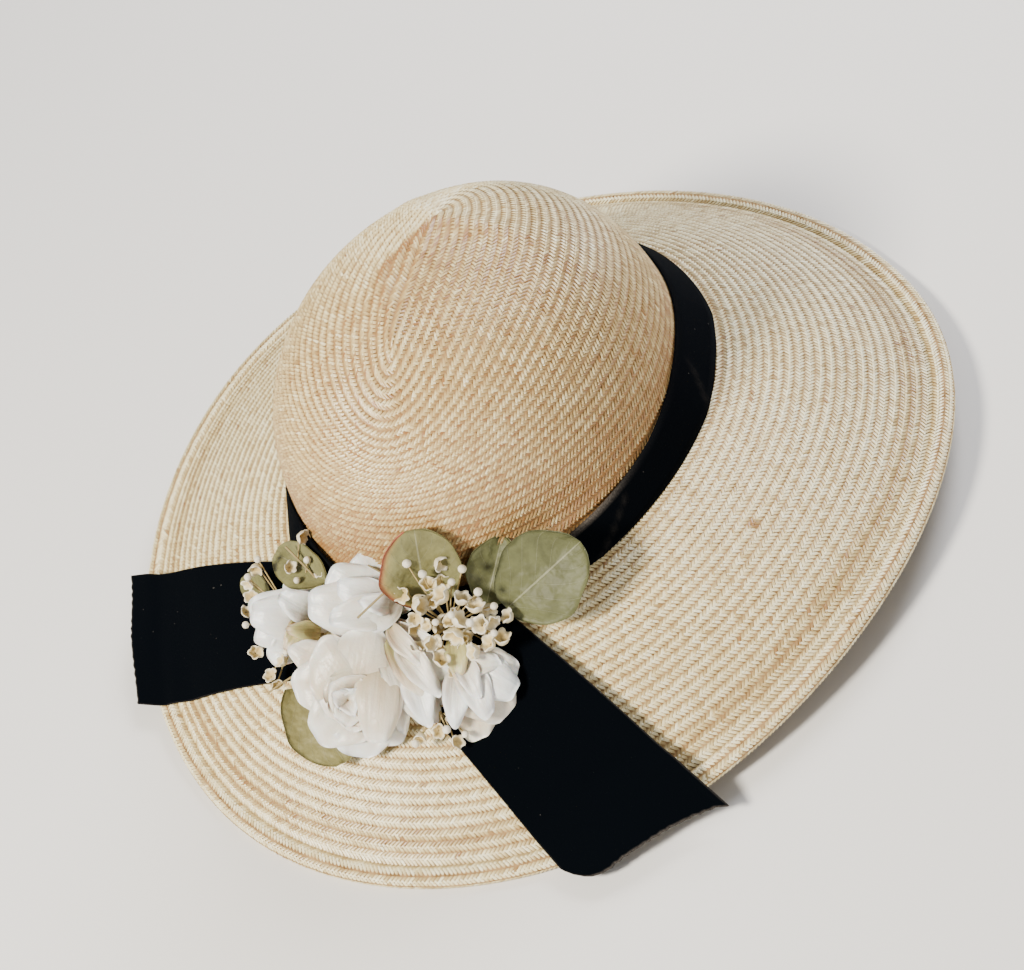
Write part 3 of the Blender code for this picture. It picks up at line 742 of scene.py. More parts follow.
def crown_zone(row, place):
    plan = place[..., :2] - SHIFT[:2]
    height = place[..., 2] - HEADLINE_HEIGHT
    # A shade darker than the brim all over, and darker and warmer just over the ribbon: painted shade
    tone = -0.22 - 0.38 * np.exp(-(((height - 0.014) / 0.034) ** 2))
    corner = np.array(TIP_CORNER)
    along_y, along_x = np.array(TIP_RIDGES[0][1]) - corner, np.array(TIP_RIDGES[2][1]) - corner
    off = plan - corner
    painted_shade_facet = smooth(left_of(off, along_y) / FACET_BLUR + 0.5) * smooth(-left_of(off, along_x) / FACET_BLUR + 0.5)
    top = np.exp(-((np.linalg.norm(off, axis=-1) / PAINTED_SHEEN_REACH) ** 2)) * (height > TIP_LEVEL)
    # Paler near the tip: painted sheen. Darker on the plane in front of the corner: painted shade
    tone = tone + top * (0.22 - 0.32 * painted_shade_facet)
    for (start, end), (depth, reach) in zip(TIP_RIDGES, CREASE_TONES):
        near = near_line(plan, start, end)
        tone = tone - depth * np.exp(-((near / reach) ** 2)) * (height > TIP_LEVEL)
    return tone


print("crease tones:", CREASE_TONES)

# %% Crown
crown_weave = weave_straws("crown_weave", crown_outer, 1.0, crown_paint, crown_zone)
coarse = crown_outer[:, ::2]
coarse_normals = row_normals(coarse, 1.0)
outside = coarse - coarse_normals * BEHIND_STRAWS
inside = (coarse - coarse_normals * WALL)[::-1]
numbers = np.concatenate([np.arange(len(coarse)), np.arange(len(coarse))[::-1]]).astype(float)
woven_shell("crown_shell", np.concatenate([outside, inside]), numbers, len(coarse))
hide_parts("crown")
print("crown stands", round(float(crown_outer[..., 2].max()) * 1000, 1), "mm over the floor")

# %% [markdown]
# The brim is woven on in the same rows and drops from the headline to the rim in a
# gentle bow. Its last rows turn over a hidden wire or cord into a raised edge. The
# rows follow the rim, so they spread a little where the brim is wide. A disk could be
# bent by hand, but slow waves along the rim give the lift and dips in a few numbers.

# %% Shape of the brim
RIM_HALF = np.array((0.1810, 0.1832))
RIM_MIDDLE = np.array((0.0050, 0.0012))
# Waves along the rim: how many, how big, and their shift in degrees
RIM_OUT = (3, 0.0143, -65.0)
RIM_LIFTS = ((2, 0.0090, 6.0), (3, 0.0016, 231.0))
RIM_LIFT_MEAN = 0.0064
RIM_SETTLE = 0.0030
BRIM_BOW = 0.0030
EDGE_WIDTH = 0.0085
EDGE_SHOULDER = 0.0042
HEAD_GAP = np.array((0.0002, 0.0002))
HEAD_RAISE = 0.0001


def wave(angle, count, size, phase):
    return size * np.cos(count * angle - math.radians(phase))


def settle(height):
    # What would dip under the floor lies flat on it
    soft = height * height / (2.0 * RIM_SETTLE)
    return np.where(height <= 0.0, 0.0, np.where(height < RIM_SETTLE, soft, height - RIM_SETTLE / 2.0))


def brim_frame(angle):
    # The brim's inner and outer end in each direction, and the way out there
    circle = on_circle(angle)
    inner = np.concatenate([
        (HEADLINE_HALF + HEAD_GAP) * circle,
        np.full((len(angle), 1), HEADLINE_HEIGHT + HEAD_RAISE),
    ], -1)
    plan = RIM_MIDDLE + RIM_HALF * (1.0 + wave(angle, *RIM_OUT))[:, None] * circle
    lift = RIM_LIFT_MEAN + sum(wave(angle, *row) for row in RIM_LIFTS)
    rim = np.concatenate([plan, settle(lift)[:, None]], -1)
    return inner, rim, unit((rim - inner) * np.array((1.0, 1.0, 0.0)))


def edge_row(angle, inset, height):
    _, rim, outward = brim_frame(angle)
    point = rim - outward * inset
    point[:, 2] = rim[:, 2] + height
    return point


def brim_row(angle, t):
    # A row of the brim's upper face: t is 0 at the headline and 1 at the turned edge
    inner = brim_frame(angle)[0]
    shoulder = edge_row(angle, EDGE_WIDTH, EDGE_SHOULDER)
    t = np.broadcast_to(np.asarray(t, dtype=float), angle.shape)[:, None]
    point = inner + (shoulder - inner) * t
    point[:, 2] += BRIM_BOW * 4.0 * (t * (1.0 - t))[:, 0]
    return point


print("rim lifts to", round(float(brim_frame(full_circle(AROUND))[1][:, 2].max()) * 1000, 1), "mm")

# %% Straws of the brim
BRIM_ROWS = 42
# Inset from the rim and height over it, up and over the turned edge
EDGE_TURN = ((0.0062, 0.0048), (0.0038, 0.0047), (0.0014, 0.0036), (0.0001, 0.0018), (0.0010, 0.0003))
SPECK = np.array((-0.1289, 0.0005))
SPECK_REACH = 0.0019


def brim_and_edge(angle):
    # Rows of the upper face and of the turned edge, from the headline outwards
    rows = [brim_row(angle, j / BRIM_ROWS) for j in range(BRIM_ROWS + 1)]
    return rows + [edge_row(angle, inset, height) for inset, height in EDGE_TURN]


def brim_zone(row, place):
    # Tan a few rows in from the rim and beside the ribbon, and one dark speck
    share = row / BRIM_ROWS
    tone = 0.04 - 0.30 * math.exp(-(((share - 0.89) / 0.04) ** 2)) - 0.20 * math.exp(-((share / 0.07) ** 2))
    speck = np.linalg.norm(place[..., :2] - SPECK, axis=-1)
    return tone - 1.2 * np.exp(-((speck / SPECK_REACH) ** 2))


brim_outer = np.array([evenly(row) for row in brim_and_edge(full_circle(AROUND * 2))]) + SHIFT
brim_weave = weave_straws("brim_weave", brim_outer, -1.0, brim_paint, brim_zone)

# %% Wall and underside of the brim
REST_STRIP = ((0.0010, 0.0), (0.0040, 0.0))
WALL_AROUND = 288
UNDER_DROP = 1.05

wall_angle = full_circle(WALL_AROUND)
ground = np.array(brim_and_edge(wall_angle))
under = ground[:BRIM_ROWS + 1][::-1] - np.array((0.0, 0.0, WALL * UNDER_DROP))
ground = ground - row_normals(ground, -1.0) * BEHIND_STRAWS
rest = np.array([edge_row(wall_angle, inset, height) for inset, height in REST_STRIP])
brim_rings = np.concatenate([ground, rest, under]) + SHIFT
outer_numbers = np.arange(len(ground) + len(rest))
numbers = np.concatenate([outer_numbers, np.arange(BRIM_ROWS + 1)[::-1]]).astype(float)
woven_shell("brim_shell", brim_rings, numbers, len(ground))
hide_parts("brim")

# %% [markdown]
# Black velvet is nearly all shadow: the pile swallows light unless it is seen edge on,
# where it turns grey. Sheen does that. A little noise in the bump keeps the pile from
# looking like paper, a few pale specks are lint, and the woven edge of the ribbon is
# paler than its face.

# %% Velvet
VELVET_BLACK = (0.0012, 0.0019, 0.0030)
VELVET_EDGE = (0.16, 0.14, 0.12)
LINT = (0.45, 0.42, 0.38)
LINT_MOST = (0.14, 0.14, 0.14)

velvet_paint, tree, shader = node_material(
    "velvet", 0.95, Specular_IOR_Level=0.01, Sheen_Weight=0.012, Sheen_Roughness=0.5,
    Sheen_Tint=(0.55, 0.60, 0.75, 1.0),
)
lint = ramp(tree, noise(tree, 420.0, 1.0), [(0.79, (0.0, 0.0, 0.0)), (0.81, LINT_MOST)])
edge_grain = sums(tree, "MULTIPLY", own_tint(tree), noise(tree, 1500.0, 1.0))
faced = blend(tree, edge_grain, VELVET_BLACK, VELVET_EDGE)
tree.links.new(blend(tree, lint, faced, LINT), shader.inputs["Base Color"])
bump(tree, shader, noise(tree, 1400.0, 3.0), 0.00025, 0.6)
print("made", velvet_paint.name)

# %% [markdown]
# The band is the ribbon pressed double and drawn round the crown, fold down, with both
# woven edges at the top. Stiff ribbon goes round in short flats rather than in a true
# oval, and the pressing leaves faint slanting creases. A cloth could be let settle
# there, but the ribbon is too stiff to drape, so it is one closed strip with a fine
# slit between its two layers.

# %% Line of the band
BAND_LOW = np.array((0.08975, 0.1040))
BAND_HIGH = np.array((0.0820, 0.0908))
BAND_HEIGHT = 0.0235
BAND_RAISE = 0.0004
# Degrees round the hat, then the band's height there as a share of the whole
BAND_LEVELS = np.array((
    (0.0, 1.0), (62.0, 1.0), (95.0, 0.62), (150.0, 0.61), (160.0, 0.66), (170.0, 0.72),
    (180.0, 0.78), (190.0, 0.87), (200.0, 0.955), (210.0, 1.0), (360.0, 1.0),
))
# Degrees where each flat starts and ends
BAND_FLATS = ((60, 108), (108, 155), (155, 197), (197, 228), (228, 262), (262, 318), (318, 380), (380, 420))
# Upper and lower end of each crease, as degrees and share of the height
BAND_CREASES = (((167.0, 0.72), (155.0, 0.02)), ((206.0, 0.62), (199.0, 0.06)), ((84.0, 0.9), (78.0, 0.1)))
CREASE_WIDTH = 0.9
CREASE_FADE = 0.08


def crease_lift(degrees, height_share):
    # How much a crease raises each place of the band, from 0 to about 1
    fold = np.zeros_like(degrees)
    for (from_deg, from_share), (to_deg, to_share) in BAND_CREASES:
        lift = np.clip((height_share - to_share) / (from_share - to_share), 0.0, 1.0)
        line_deg = to_deg + (from_deg - to_deg) * lift
        fade = smooth((height_share - to_share + CREASE_FADE) / CREASE_FADE)
        fade = fade * smooth((from_share - height_share + CREASE_FADE) / CREASE_FADE)
        fold += fade * np.exp(-(((degrees - line_deg) / CREASE_WIDTH) ** 2))
    return fold


def band_line(angle, height_share, inset):
    # Points of the band at one height, for every angle round it
    degrees = np.degrees(angle) % 360.0
    reach = height_share * np.interp(degrees, BAND_LEVELS[:, 0], BAND_LEVELS[:, 1])
    half = BAND_LOW + (BAND_HIGH - BAND_LOW) * reach[:, None]
    flat = np.zeros_like(angle)
    for start, end in BAND_FLATS:
        for turn in (0.0, 360.0):
            part = (degrees + turn - start) / (end - start)
            inside = (part > 0.0) & (part < 1.0)
            flat = np.where(inside, np.sin(np.pi * np.clip(part, 0.0, 1.0)), flat)
    fold = crease_lift(degrees, height_share)
    out = -0.0009 * flat * (1.0 - height_share) + 0.00045 * fold - inset
    plan = (half + out[:, None]) * on_circle(angle)
    z = HEADLINE_HEIGHT + BAND_RAISE + BAND_HEIGHT * reach
    z = z + 0.0003 * np.sin(5.0 * angle + 1.0) * height_share
    return np.concatenate([plan, z[:, None]], -1), fold


print("the band is", BAND_HEIGHT * 1000, "mm high")

# %% Ribbon band
BAND_AROUND = 360
BAND_STEPS = 7
# How far in from the outer face the strip runs as it goes down, up, down and up again
LAYER_INSETS = (0.0, 0.00080, 0.00045, 0.00035)
WORN_DEGREES, WORN_REACH = 158.0, 9.0

band_angle = full_circle(BAND_AROUND)
down = np.linspace(1.0, 0.0, BAND_STEPS)
runs = (down, down[::-1], down[:-1], down[:-1][::-1])
worn = np.exp(-(((np.degrees(band_angle) - WORN_DEGREES) / WORN_REACH) ** 2))
band_rings, band_tint = [], []
for run, inset in zip(runs, LAYER_INSETS):
    for share in run:
        ring, fold = band_line(band_angle, share, inset)
        band_rings.append(ring + SHIFT)
        band_tint.append(np.clip(fold * 0.10 + (share > 0.97) * (0.03 + worn), 0.0, 1.0))
band_faces = grid_quads(len(band_rings), BAND_AROUND, True, True)[:, ::-1]
ribbon_band = new_piece(
    "velvet_band", np.concatenate(band_rings), band_faces, [velvet_paint], np.concatenate(band_tint),
)
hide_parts("ribbon_band")
print("velvet_band has", len(band_faces), "faces")

# %% [markdown]
# The tails are the ribbon's two free ends, single and stiff, laid out over the brim
# past the rim. They bend along their length only, as flat ribbon does, and stand a
# little off the straw. The cut ends show thread, so they are paler. Each is shaped
# from the brim's own height under it, so it can't sink into the straw.

# %% Height of the brim under a tail
EDGE_RISE = 0.0026
AIM_STEPS = 8


def brim_height(plan):
    # Height of the brim's upper face over plan points, carried on past the rim. The way
    # out that passes through each point is found in a few steps, each nearer to it.
    angle = np.arctan2(plan[:, 1] / HEADLINE_HALF[1], plan[:, 0] / HEADLINE_HALF[0])
    for _ in range(AIM_STEPS):
        start = brim_row(angle, 0.0)[:, :2]
        span = brim_row(angle, 1.0)[:, :2] - start
        miss = plan - start
        share = (miss * span).sum(1) / (span * span).sum(1)
        sideways = (span[:, 0] * miss[:, 1] - span[:, 1] * miss[:, 0]) / np.linalg.norm(span, axis=1)
        angle = angle + sideways / np.linalg.norm(plan, axis=1)
    over_edge = np.clip((share - 0.90) / 0.10, 0.0, 1.0)
    return brim_row(angle, share)[:, 2] + EDGE_RISE * over_edge


print("the turned edge rises", EDGE_RISE * 1000, "mm over the brim")

# %% One tail
TAIL_THICKNESS = 0.0009
TAIL_CLEARANCE = 0.0016
TAIL_LOWEST = 0.0040
# Share along the tail, then how far its upper and its lower edge stand off the brim
TAIL_LIFT = np.array((
    (0.00, 0.0030, 0.0030), (0.15, 0.0040, 0.0030), (0.35, 0.0060, 0.0030),
    (0.60, 0.0078, 0.0025), (0.84, 0.0080, 0.0010), (1.00, 0.0120, 0.0095),
))
# Shares along and across, closer together near the cut end and the woven edges
TAIL_ALONG = np.concatenate([np.linspace(0.0, 0.985, 86), (0.992, 0.9965, 1.0)])
TAIL_ACROSS = np.concatenate([(0.0, 0.008), np.linspace(0.03, 0.97, 31), (0.992, 1.0)])
EVENING = np.exp(-np.linspace(-2.0, 2.0, 9) ** 2)


def evened(z):
    # The same heights without sharp steps along the tail
    reach = len(EVENING) // 2
    padded = np.concatenate([np.repeat(z[:1], reach, 0), z, np.repeat(z[-1:], reach, 0)])
    return np.apply_along_axis(lambda c: np.convolve(c, EVENING / EVENING.sum(), "valid"), 0, padded)


def ribbon_tail(name, node, upper, lower, end_shape):
    # end_shape gives the cut end: shares across the ribbon and how far it runs on there
    s, v = np.meshgrid(TAIL_ALONG, TAIL_ACROSS, indexing="ij")
    upper, lower = np.array(upper), np.array(lower)
    top = upper[0] + (upper[1] - upper[0]) * s[..., None]
    bottom = lower[0] + (lower[1] - lower[0]) * s[..., None]
    heading = unit((upper[1] - upper[0]) + (lower[1] - lower[0]))
    over = np.interp(v[0], end_shape[:, 0], end_shape[:, 1]) + 0.0003 * np.sin(90.0 * v[0])
    plan = top + (bottom - top) * v[..., None] + heading * (over * smooth((s - 0.75) / 0.25))[..., None]
    under_top, under_bottom, under_plan = (
        brim_height(points.reshape(-1, 2)).reshape(s.shape) for points in (top, bottom, plan)
    )
    edge_top = np.maximum(TAIL_LOWEST, under_top + np.interp(s, TAIL_LIFT[:, 0], TAIL_LIFT[:, 1]))
    edge_low = np.maximum(TAIL_LOWEST, under_bottom + np.interp(s, TAIL_LIFT[:, 0], TAIL_LIFT[:, 2]))
    z = edge_top + (edge_low - edge_top) * v
    short = under_plan + TAIL_CLEARANCE - z
    z = evened(z + np.maximum(0.0, short.max(axis=1, keepdims=True)))
    z = z + smooth((s - 0.6) / 0.4) * 0.0009 * np.sin(7.0 * v + 4.0 * s)
    sheet = np.concatenate([plan, z[..., None]], -1) + SHIFT
    normal = unit(np.cross(np.gradient(sheet, axis=1), np.gradient(sheet, axis=0)))
    normal *= np.sign(normal[..., 2:].mean())
    cut_tint = smooth((s - 0.992) / 0.008) * 0.7
    edge_tint = smooth((np.abs(v - 0.5) - 0.492) / 0.008) * 0.25
    half_thick = normal * TAIL_THICKNESS / 2.0
    points, faces = closed_sheet(sheet + half_thick, sheet - half_thick)
    tint = np.tile(np.maximum(cut_tint, edge_tint).ravel(), 2)
    piece = new_piece(name, points, faces, [velvet_paint], tint)
    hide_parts(node)
    print(name, "has", len(faces), "faces")


print("a tail has", len(TAIL_ALONG), "by", len(TAIL_ACROSS), "points on each side")

# %% Both tails
# Share across the ribbon, then how far the cut end runs on there, in metres
FRONT_END = np.array((
    (0.0, 0.0030), (0.05, 0.0010), (0.2, 0.0008), (0.35, 0.0022), (0.52, 0.0052), (0.69, 0.0074),
    (0.82, 0.0098), (0.90, 0.0094), (0.96, 0.0062), (0.985, 0.0030), (1.0, -0.0010),
))
BACK_END = np.array(((0.0, 0.0), (0.5, 0.0010), (1.0, 0.0)))
ribbon_tail(
    "velvet_tail_front", "ribbon_tail_front",
    ((-0.0330, 0.0735), (-0.1563, 0.1030)), ((-0.0200, 0.1140), (-0.1085, 0.1495)), FRONT_END,
)
ribbon_tail(
    "velvet_tail_back", "ribbon_tail_back",
    ((0.0300, 0.0867), (0.1576, 0.1012)), ((0.0200, 0.1287), (0.1205, 0.1507)), BACK_END,
)

# %% [markdown]
# A preserved petal is thin and pearly, whiter towards its rim and greenish or tan near
# its root. Its darkening towards the root is also partly painted shade, deep in the
# bloom. It has soft folds and fine silk lines along its length. Both are too fine
# to model, so noise draws them as bump: round noise for the folds, and noise drawn
# out along the petal for the silk.

# %% Petal finish
WHITE = (1.0, 1.0, 1.0)
SILK_STRETCH = (10.0, 1.6, 1.0)
SILK_SHARE = 0.58

petal_paint, tree, shader = node_material(
    "petal", 0.36, Specular_IOR_Level=0.58, Subsurface_Weight=0.15, Subsurface_Scale=0.002,
    Sheen_Weight=0.10, Sheen_Roughness=0.35,
)
petal_tone = ramp(tree, own_tint(tree), [
    (0.0, (0.50, 0.47, 0.21)), (0.20, (0.58, 0.48, 0.33)), (0.42, (0.71, 0.63, 0.51)),
    (0.70, (0.83, 0.80, 0.74)), (1.0, (0.86, 0.89, 0.92)),
])
clouded = ramp(tree, noise(tree, 120.0, 3.0), [(0.3, (0.90, 0.86, 0.82)), (0.7, WHITE)])
tree.links.new(blend(tree, 1.0, petal_tone, clouded, "MULTIPLY"), shader.inputs["Base Color"])
folds = sums(tree, "ABSOLUTE", sums(tree, "SUBTRACT", noise(tree, 150.0, 5.0, rough=0.55), 0.5))
silk = noise(tree, 1.0, 4.0, stretch=SILK_STRETCH, place=weave_place(tree))
bump(tree, shader, sums(tree, "MULTIPLY_ADD", silk, SILK_SHARE, folds), 0.0011, 0.55)
print("made", petal_paint.name)

# %% [markdown]
# The trim faces the camera rather than straight up, so its pieces are easier to place
# in a frame of their own. This bouquet frame looks out from the trim: x to its right,
# y up and z outwards, in millimetres from the middle of the biggest bloom. Blades, thin
# closed sheets between a root and a tip, serve for petals and for leaves.

# %% Bouquet frame and blades
BOUQUET = np.array((-0.0276, 0.1289, 0.0582))
BOUQUET_AXES = np.array((tuple(picture_right), tuple(picture_up), tuple(-picture_in)))
OUTWARDS = np.array((0.0, 0.0, 1.0))


def in_bouquet(point):
    # From millimetres in the bouquet frame to the hat's own metres
    return BOUQUET + np.asarray(point, dtype=float) / 1000.0 @ BOUQUET_AXES


def blade_grid(rows, columns):
    # Shares along a blade, from root to tip, and across it, from -1 to 1
    return np.meshgrid(np.linspace(0.0, 1.0, rows), np.linspace(-1.0, 1.0, columns), indexing="ij")


def blade_directions(root, tip):
    # The line from root to tip, and the blade's directions sideways and out
    line = np.asarray(tip, dtype=float) - np.asarray(root, dtype=float)
    side = unit(np.cross(OUTWARDS, line))
    return line, side, unit(np.cross(line, side))


def thin_sheet(place, half_thick):
    normal = unit(np.cross(np.gradient(place, axis=1), np.gradient(place, axis=0)))
    return closed_sheet(place + normal * half_thick, place - normal * half_thick)


def joined(parts):
    # Several meshes as one: points and faces, then whatever else each part gives
    starts = np.cumsum([0] + [len(part[0]) for part in parts[:-1]])
    faces = np.concatenate([part[1] + start for part, start in zip(parts, starts)])
    return np.concatenate([part[0] for part in parts]), faces, *map(np.concatenate, list(zip(*parts))[2:])


print("the trim's middle is at", tuple(in_bouquet((0, 0, 0)).round(4)))

# %% [markdown]
# The blooms are preserved petals: thin, cupped, with rolled and ruffled edges. A petal
# could be sculpted, but there are dozens, all alike in kind and none the same. So one
# function makes a petal from a few sizes, and chance ruffles each a little differently.
# The sheet is widest past its middle and has a round tip.

# %% One petal
PETAL_ROWS, PETAL_COLUMNS = 19, 17
PETAL_HALF_THICK = 0.17
ANY_TURN = 6.28


def petal_height(u, v, phase, bulge, cup, ruffle, width_share):
    # How far each place of a petal stands out from the line between root and tip
    ripple = np.sin(3.6 * v + phase[2] + 2.0 * u) + 0.22 * np.sin(9.0 * v + phase[3] + 4.0 * u)
    wave_out = ruffle * u ** 2 * ripple
    crinkle = 0.07 * np.sin(12.0 * v + phase[4] + 1.5 * np.sin(5.0 * u)) * (0.3 + u)
    crinkle = crinkle + 0.16 * np.sin(6.0 * u + 4.0 * v + phase[5])
    roll = -1.6 * smooth((u - 0.82) / 0.18) ** 2 - 0.9 * smooth((np.abs(v) - 0.78) / 0.22)
    return bulge * 4.0 * u * (1.0 - u) + cup * width_share * v ** 2 + wave_out * 0.6 + crinkle + roll


def petal(root, tip, width, bulge, cup, ruffle, tone, blunt=0.5):
    # One petal as a closed sheet: bulge arches it outwards along its length, cup
    # lifts its sides, ruffle waves its free edge. Sizes are in millimetres.
    u, v = blade_grid(PETAL_ROWS, PETAL_COLUMNS)
    phase = chance.uniform(0.0, ANY_TURN, 6)
    line, side, out = blade_directions(root, tip)
    length = np.linalg.norm(line)
    outline = np.sin(np.pi * (0.08 + 0.77 * u)) ** blunt
    half = width / 2.0 * outline * (1.0 + 0.05 * np.sin(5.0 * u + phase[0] + 2.0 * v))
    notch = 0.022 * length * u ** 3 * np.sin(4.5 * v + phase[1])
    rounding = 0.34 * length * (1.0 - np.sqrt(1.0 - 0.95 * v ** 2)) * u ** 2 + notch
    height = petal_height(u, v, phase, bulge, cup, ruffle, half / (width / 2.0))
    place = np.asarray(root, dtype=float) + line * u[..., None] - unit(line) * rounding[..., None]
    place = place + side * (half * v)[..., None] + out * height[..., None]
    points, faces = thin_sheet(place, PETAL_HALF_THICK)
    rim = np.maximum(smooth((u - 0.85) / 0.15), smooth((np.abs(v) - 0.85) / 0.15))
    # Darker towards the root: partly the petal's own tone, partly painted shade
    tint = tone - 0.46 * (1.0 - u) ** 1.3 + 0.22 * rim + 0.04 * np.sin(9.0 * v + phase[4])
    silk_place = np.tile(np.stack([0.5 * v.ravel() + phase[0], u.ravel() + phase[1]], -1), (2, 1))
    return in_bouquet(points), faces, np.tile(np.clip(tint, 0.0, 1.0).ravel(), 2), silk_place[faces]


print("a petal has", PETAL_ROWS, "by", PETAL_COLUMNS, "points on each side")

# %% Rings of petals and whole blooms


def rosette(middle, reach, height, count, width, cup, tone, turn=0.0):
    # A ring of petals round a middle, leaning out less as the rings get smaller
    x, y, z = middle
    rows = []
    for i in range(count):
        angle = turn + 2.0 * math.pi * (i + chance.uniform(-0.22, 0.22)) / count
        out = reach * chance.uniform(0.85, 1.12)
        tip = (x + out * math.cos(angle), y + out * math.sin(angle), z + height + chance.uniform(-0.8, 0.8))
        root = (x - 0.15 * out * math.cos(angle), y - 0.15 * out * math.sin(angle), z - 5.0)
        own_width = width * chance.uniform(0.85, 1.15)
        rows.append((root, tip, own_width, 0.16 * reach, cup, 0.9, tone + chance.uniform(-0.1, 0.14)))
    return rows


def bloom(name, node, petals):
    points, faces, tints, weave = joined([petal(*row) for row in petals])
    piece = new_piece(name, points, faces, [petal_paint], tints, weave)
    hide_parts(node)
    print(name, "has", len(petals), "petals")


print("ready to make rings of petals and whole blooms")

# %% Main bloom
# Each row: root, tip, width, bulge, cup, ruffle, tone and how blunt the tip is
bloom("main_bloom", "bloom_main", [
    ((3, 0, -14), (-2, -25, -6), 31, 5, 2.0, 1.6, 0.80),
    ((2, 3, -13), (14, -20, -5), 27, 5, 2.0, 1.4, 0.72),
    ((4, 2, -12), (-17, -18, -5), 28, 5, 2.5, 1.4, 0.66),
    ((5, 3, -12), (-26, 2, -6), 28, 5, 3.0, 1.1, 0.60),
    ((4, 0, -13), (-27, 17, -10), 19, 2, 1.5, 1.0, 0.52),
    ((0, 0, -12), (19, 8, -6), 25, 5, 2.0, 0.9, 0.58),
    ((5, -10, -8), (-14, 20, 0), 28, 6, -1.5, 1.0, 0.48, 0.4),
    ((-2, -8, -8), (4, 25, 1), 29, 6, -1.5, 1.0, 0.54, 0.4),
    ((9, 14, -3), (7, -19, 6), 19, 6, -2.0, 1.2, 0.52),
    ((16, 8, -6), (17, -16, 0), 8, 3, 2.0, 0.7, 0.62),
] + rosette((-2, -2, 0), 14.0, 1.0, 5, 22.0, 3.0, 0.44, 0.9)
  + rosette((-2, -2, 1), 9.0, 3.5, 3, 17.0, 3.5, 0.50, 0.2)
  + rosette((-4, -3, 2), 5.0, 4.5, 3, 10.0, 3.0, 0.66, 0.8))

# %% Blooms over and to the left of it
bloom("top_bloom", "bloom_top", [
    ((14, 32, -16), (-1, 53, -8), 23, 3, 2.0, 0.9, 0.80),
    ((13, 30, -15), (-12, 46, -6), 22, 4, 2.0, 0.9, 0.86),
    ((10, 30, -14), (13, 47, -6), 19, 4, 2.0, 0.8, 0.88),
    ((15, 31, -12), (-20, 34, -3), 24, 5, -1.5, 1.0, 0.78, 0.45),
    ((13, 33, -10), (-8, 41, 0), 15, 4, 2.0, 0.9, 0.92),
    ((15, 33, -9), (-11, 28, 1), 15, 4, 2.5, 1.0, 0.80),
    ((14, 36, -8), (0, 22, 0), 13, 3, 2.0, 0.8, 0.84),
    ((12, 34, -7), (1, 35, 3), 9, 3, 2.5, 0.9, 0.90),
])
bloom("left_bloom", "bloom_left", [
    ((-18, 24, -44), (-45, 32, -36), 24, 4, 1.5, 1.6, 0.95),
    ((-19, 24, -43), (-43, 20, -34), 20, 4, 1.5, 1.5, 0.92),
    ((-20, 23, -42), (-37, 10, -34), 16, 3, 2.0, 1.2, 0.88),
    ((-20, 24, -42), (-29, 44, -37), 17, 3, 2.0, 1.0, 0.90),
    ((-21, 22, -41), (-16, 36, -34), 15, 3, 2.0, 0.8, 0.86),
    ((-18, 27, -37), (-44, 29, -27), 19, 5, -1.5, 1.4, 0.98, 0.45),
    ((-19, 29, -35), (-32, 36, -25), 13, 4, 2.0, 1.0, 0.94),
    ((-22, 28, -33), (-30, 16, -24), 9, 2, 2.0, 0.7, 0.10, 0.7),
    ((-17, 22, -32), (-29, 23, -22), 8, 2, 2.0, 0.7, 0.02, 0.7),
    ((-16, 18, -33), (-24, 12, -26), 7, 2, 2.0, 0.6, 0.16, 0.7),
])

# %% Blooms to the right of it
bloom("mid_bloom", "bloom_mid", [
    ((11, 24, -8), (36, -3, 3), 23, 5, 2.0, 1.0, 0.74),
    ((11, 22, -7), (29, -12, 3), 19, 4, 2.0, 1.0, 0.70),
    ((12, 20, -6), (21, -5, 4), 16, 4, 2.5, 1.0, 0.66),
    ((13, 24, -4), (38, 6, 6), 15, 4, 2.5, 1.2, 0.84),
    ((13, 22, -3), (24, 0, 8), 12, 4, 3.0, 0.8, 0.30),
    ((15, 20, -1), (31, 0, 10), 11, 4, 2.5, 0.9, 0.72),
    ((20, 10, 0), (27, -12, 8), 12, 3, 1.5, 0.6, 0.98),
    ((12, 25, -2), (24, 12, 10), 8, 3, 2.5, 1.0, 0.56),
])
bloom("right_bloom", "bloom_right", [
    ((41, 13, 2), (46, -18, 6), 22, 3, 2.0, 1.4, 0.40),
    ((41, 12, 4), (57, -10, 8), 24, 4, 2.0, 1.4, 0.52),
    ((41, 12, 5), (61, 9, 11), 17, 4, 2.5, 1.0, 0.62),
    ((40, 12, 6), (60, 1, 15), 18, 4, -1.0, 0.9, 1.00),
    ((40, 12, 7), (50, -8, 16), 13, 4, 2.0, 0.9, 0.90),
    ((38, 10, 7), (37, -12, 14), 11, 3, 2.0, 0.7, 0.96, 0.6),
    ((40, 13, 8), (46, 0, 19), 9, 3, 2.5, 0.9, 0.80),
    ((38, 12, 8), (54, 13, 16), 10, 3, 2.0, 0.6, 0.70),
    ((37, 22, 8), (39, 6, 16), 9, 3, 2.0, 0.7, 0.10, 0.7),
])

# %% [markdown]
# The leaves are dried and stiff, nearly round, with pale veins. They are blades like
# the petals, but flatter and creased along the middle. Each point carries a pair of
# numbers, how far across and how far along the leaf it is, and from these the material
# draws the veins. Modelled veins would need far more faces for lines this thin.

# %% Leaf finish
VEIN_WIDTH = 0.022
VEIN_COLOUR = (0.34, 0.34, 0.22)
SIDE_VEINS = 5.0
VEIN_SLANT = 2.4
CRUMPLE_DEPTH = 2.8

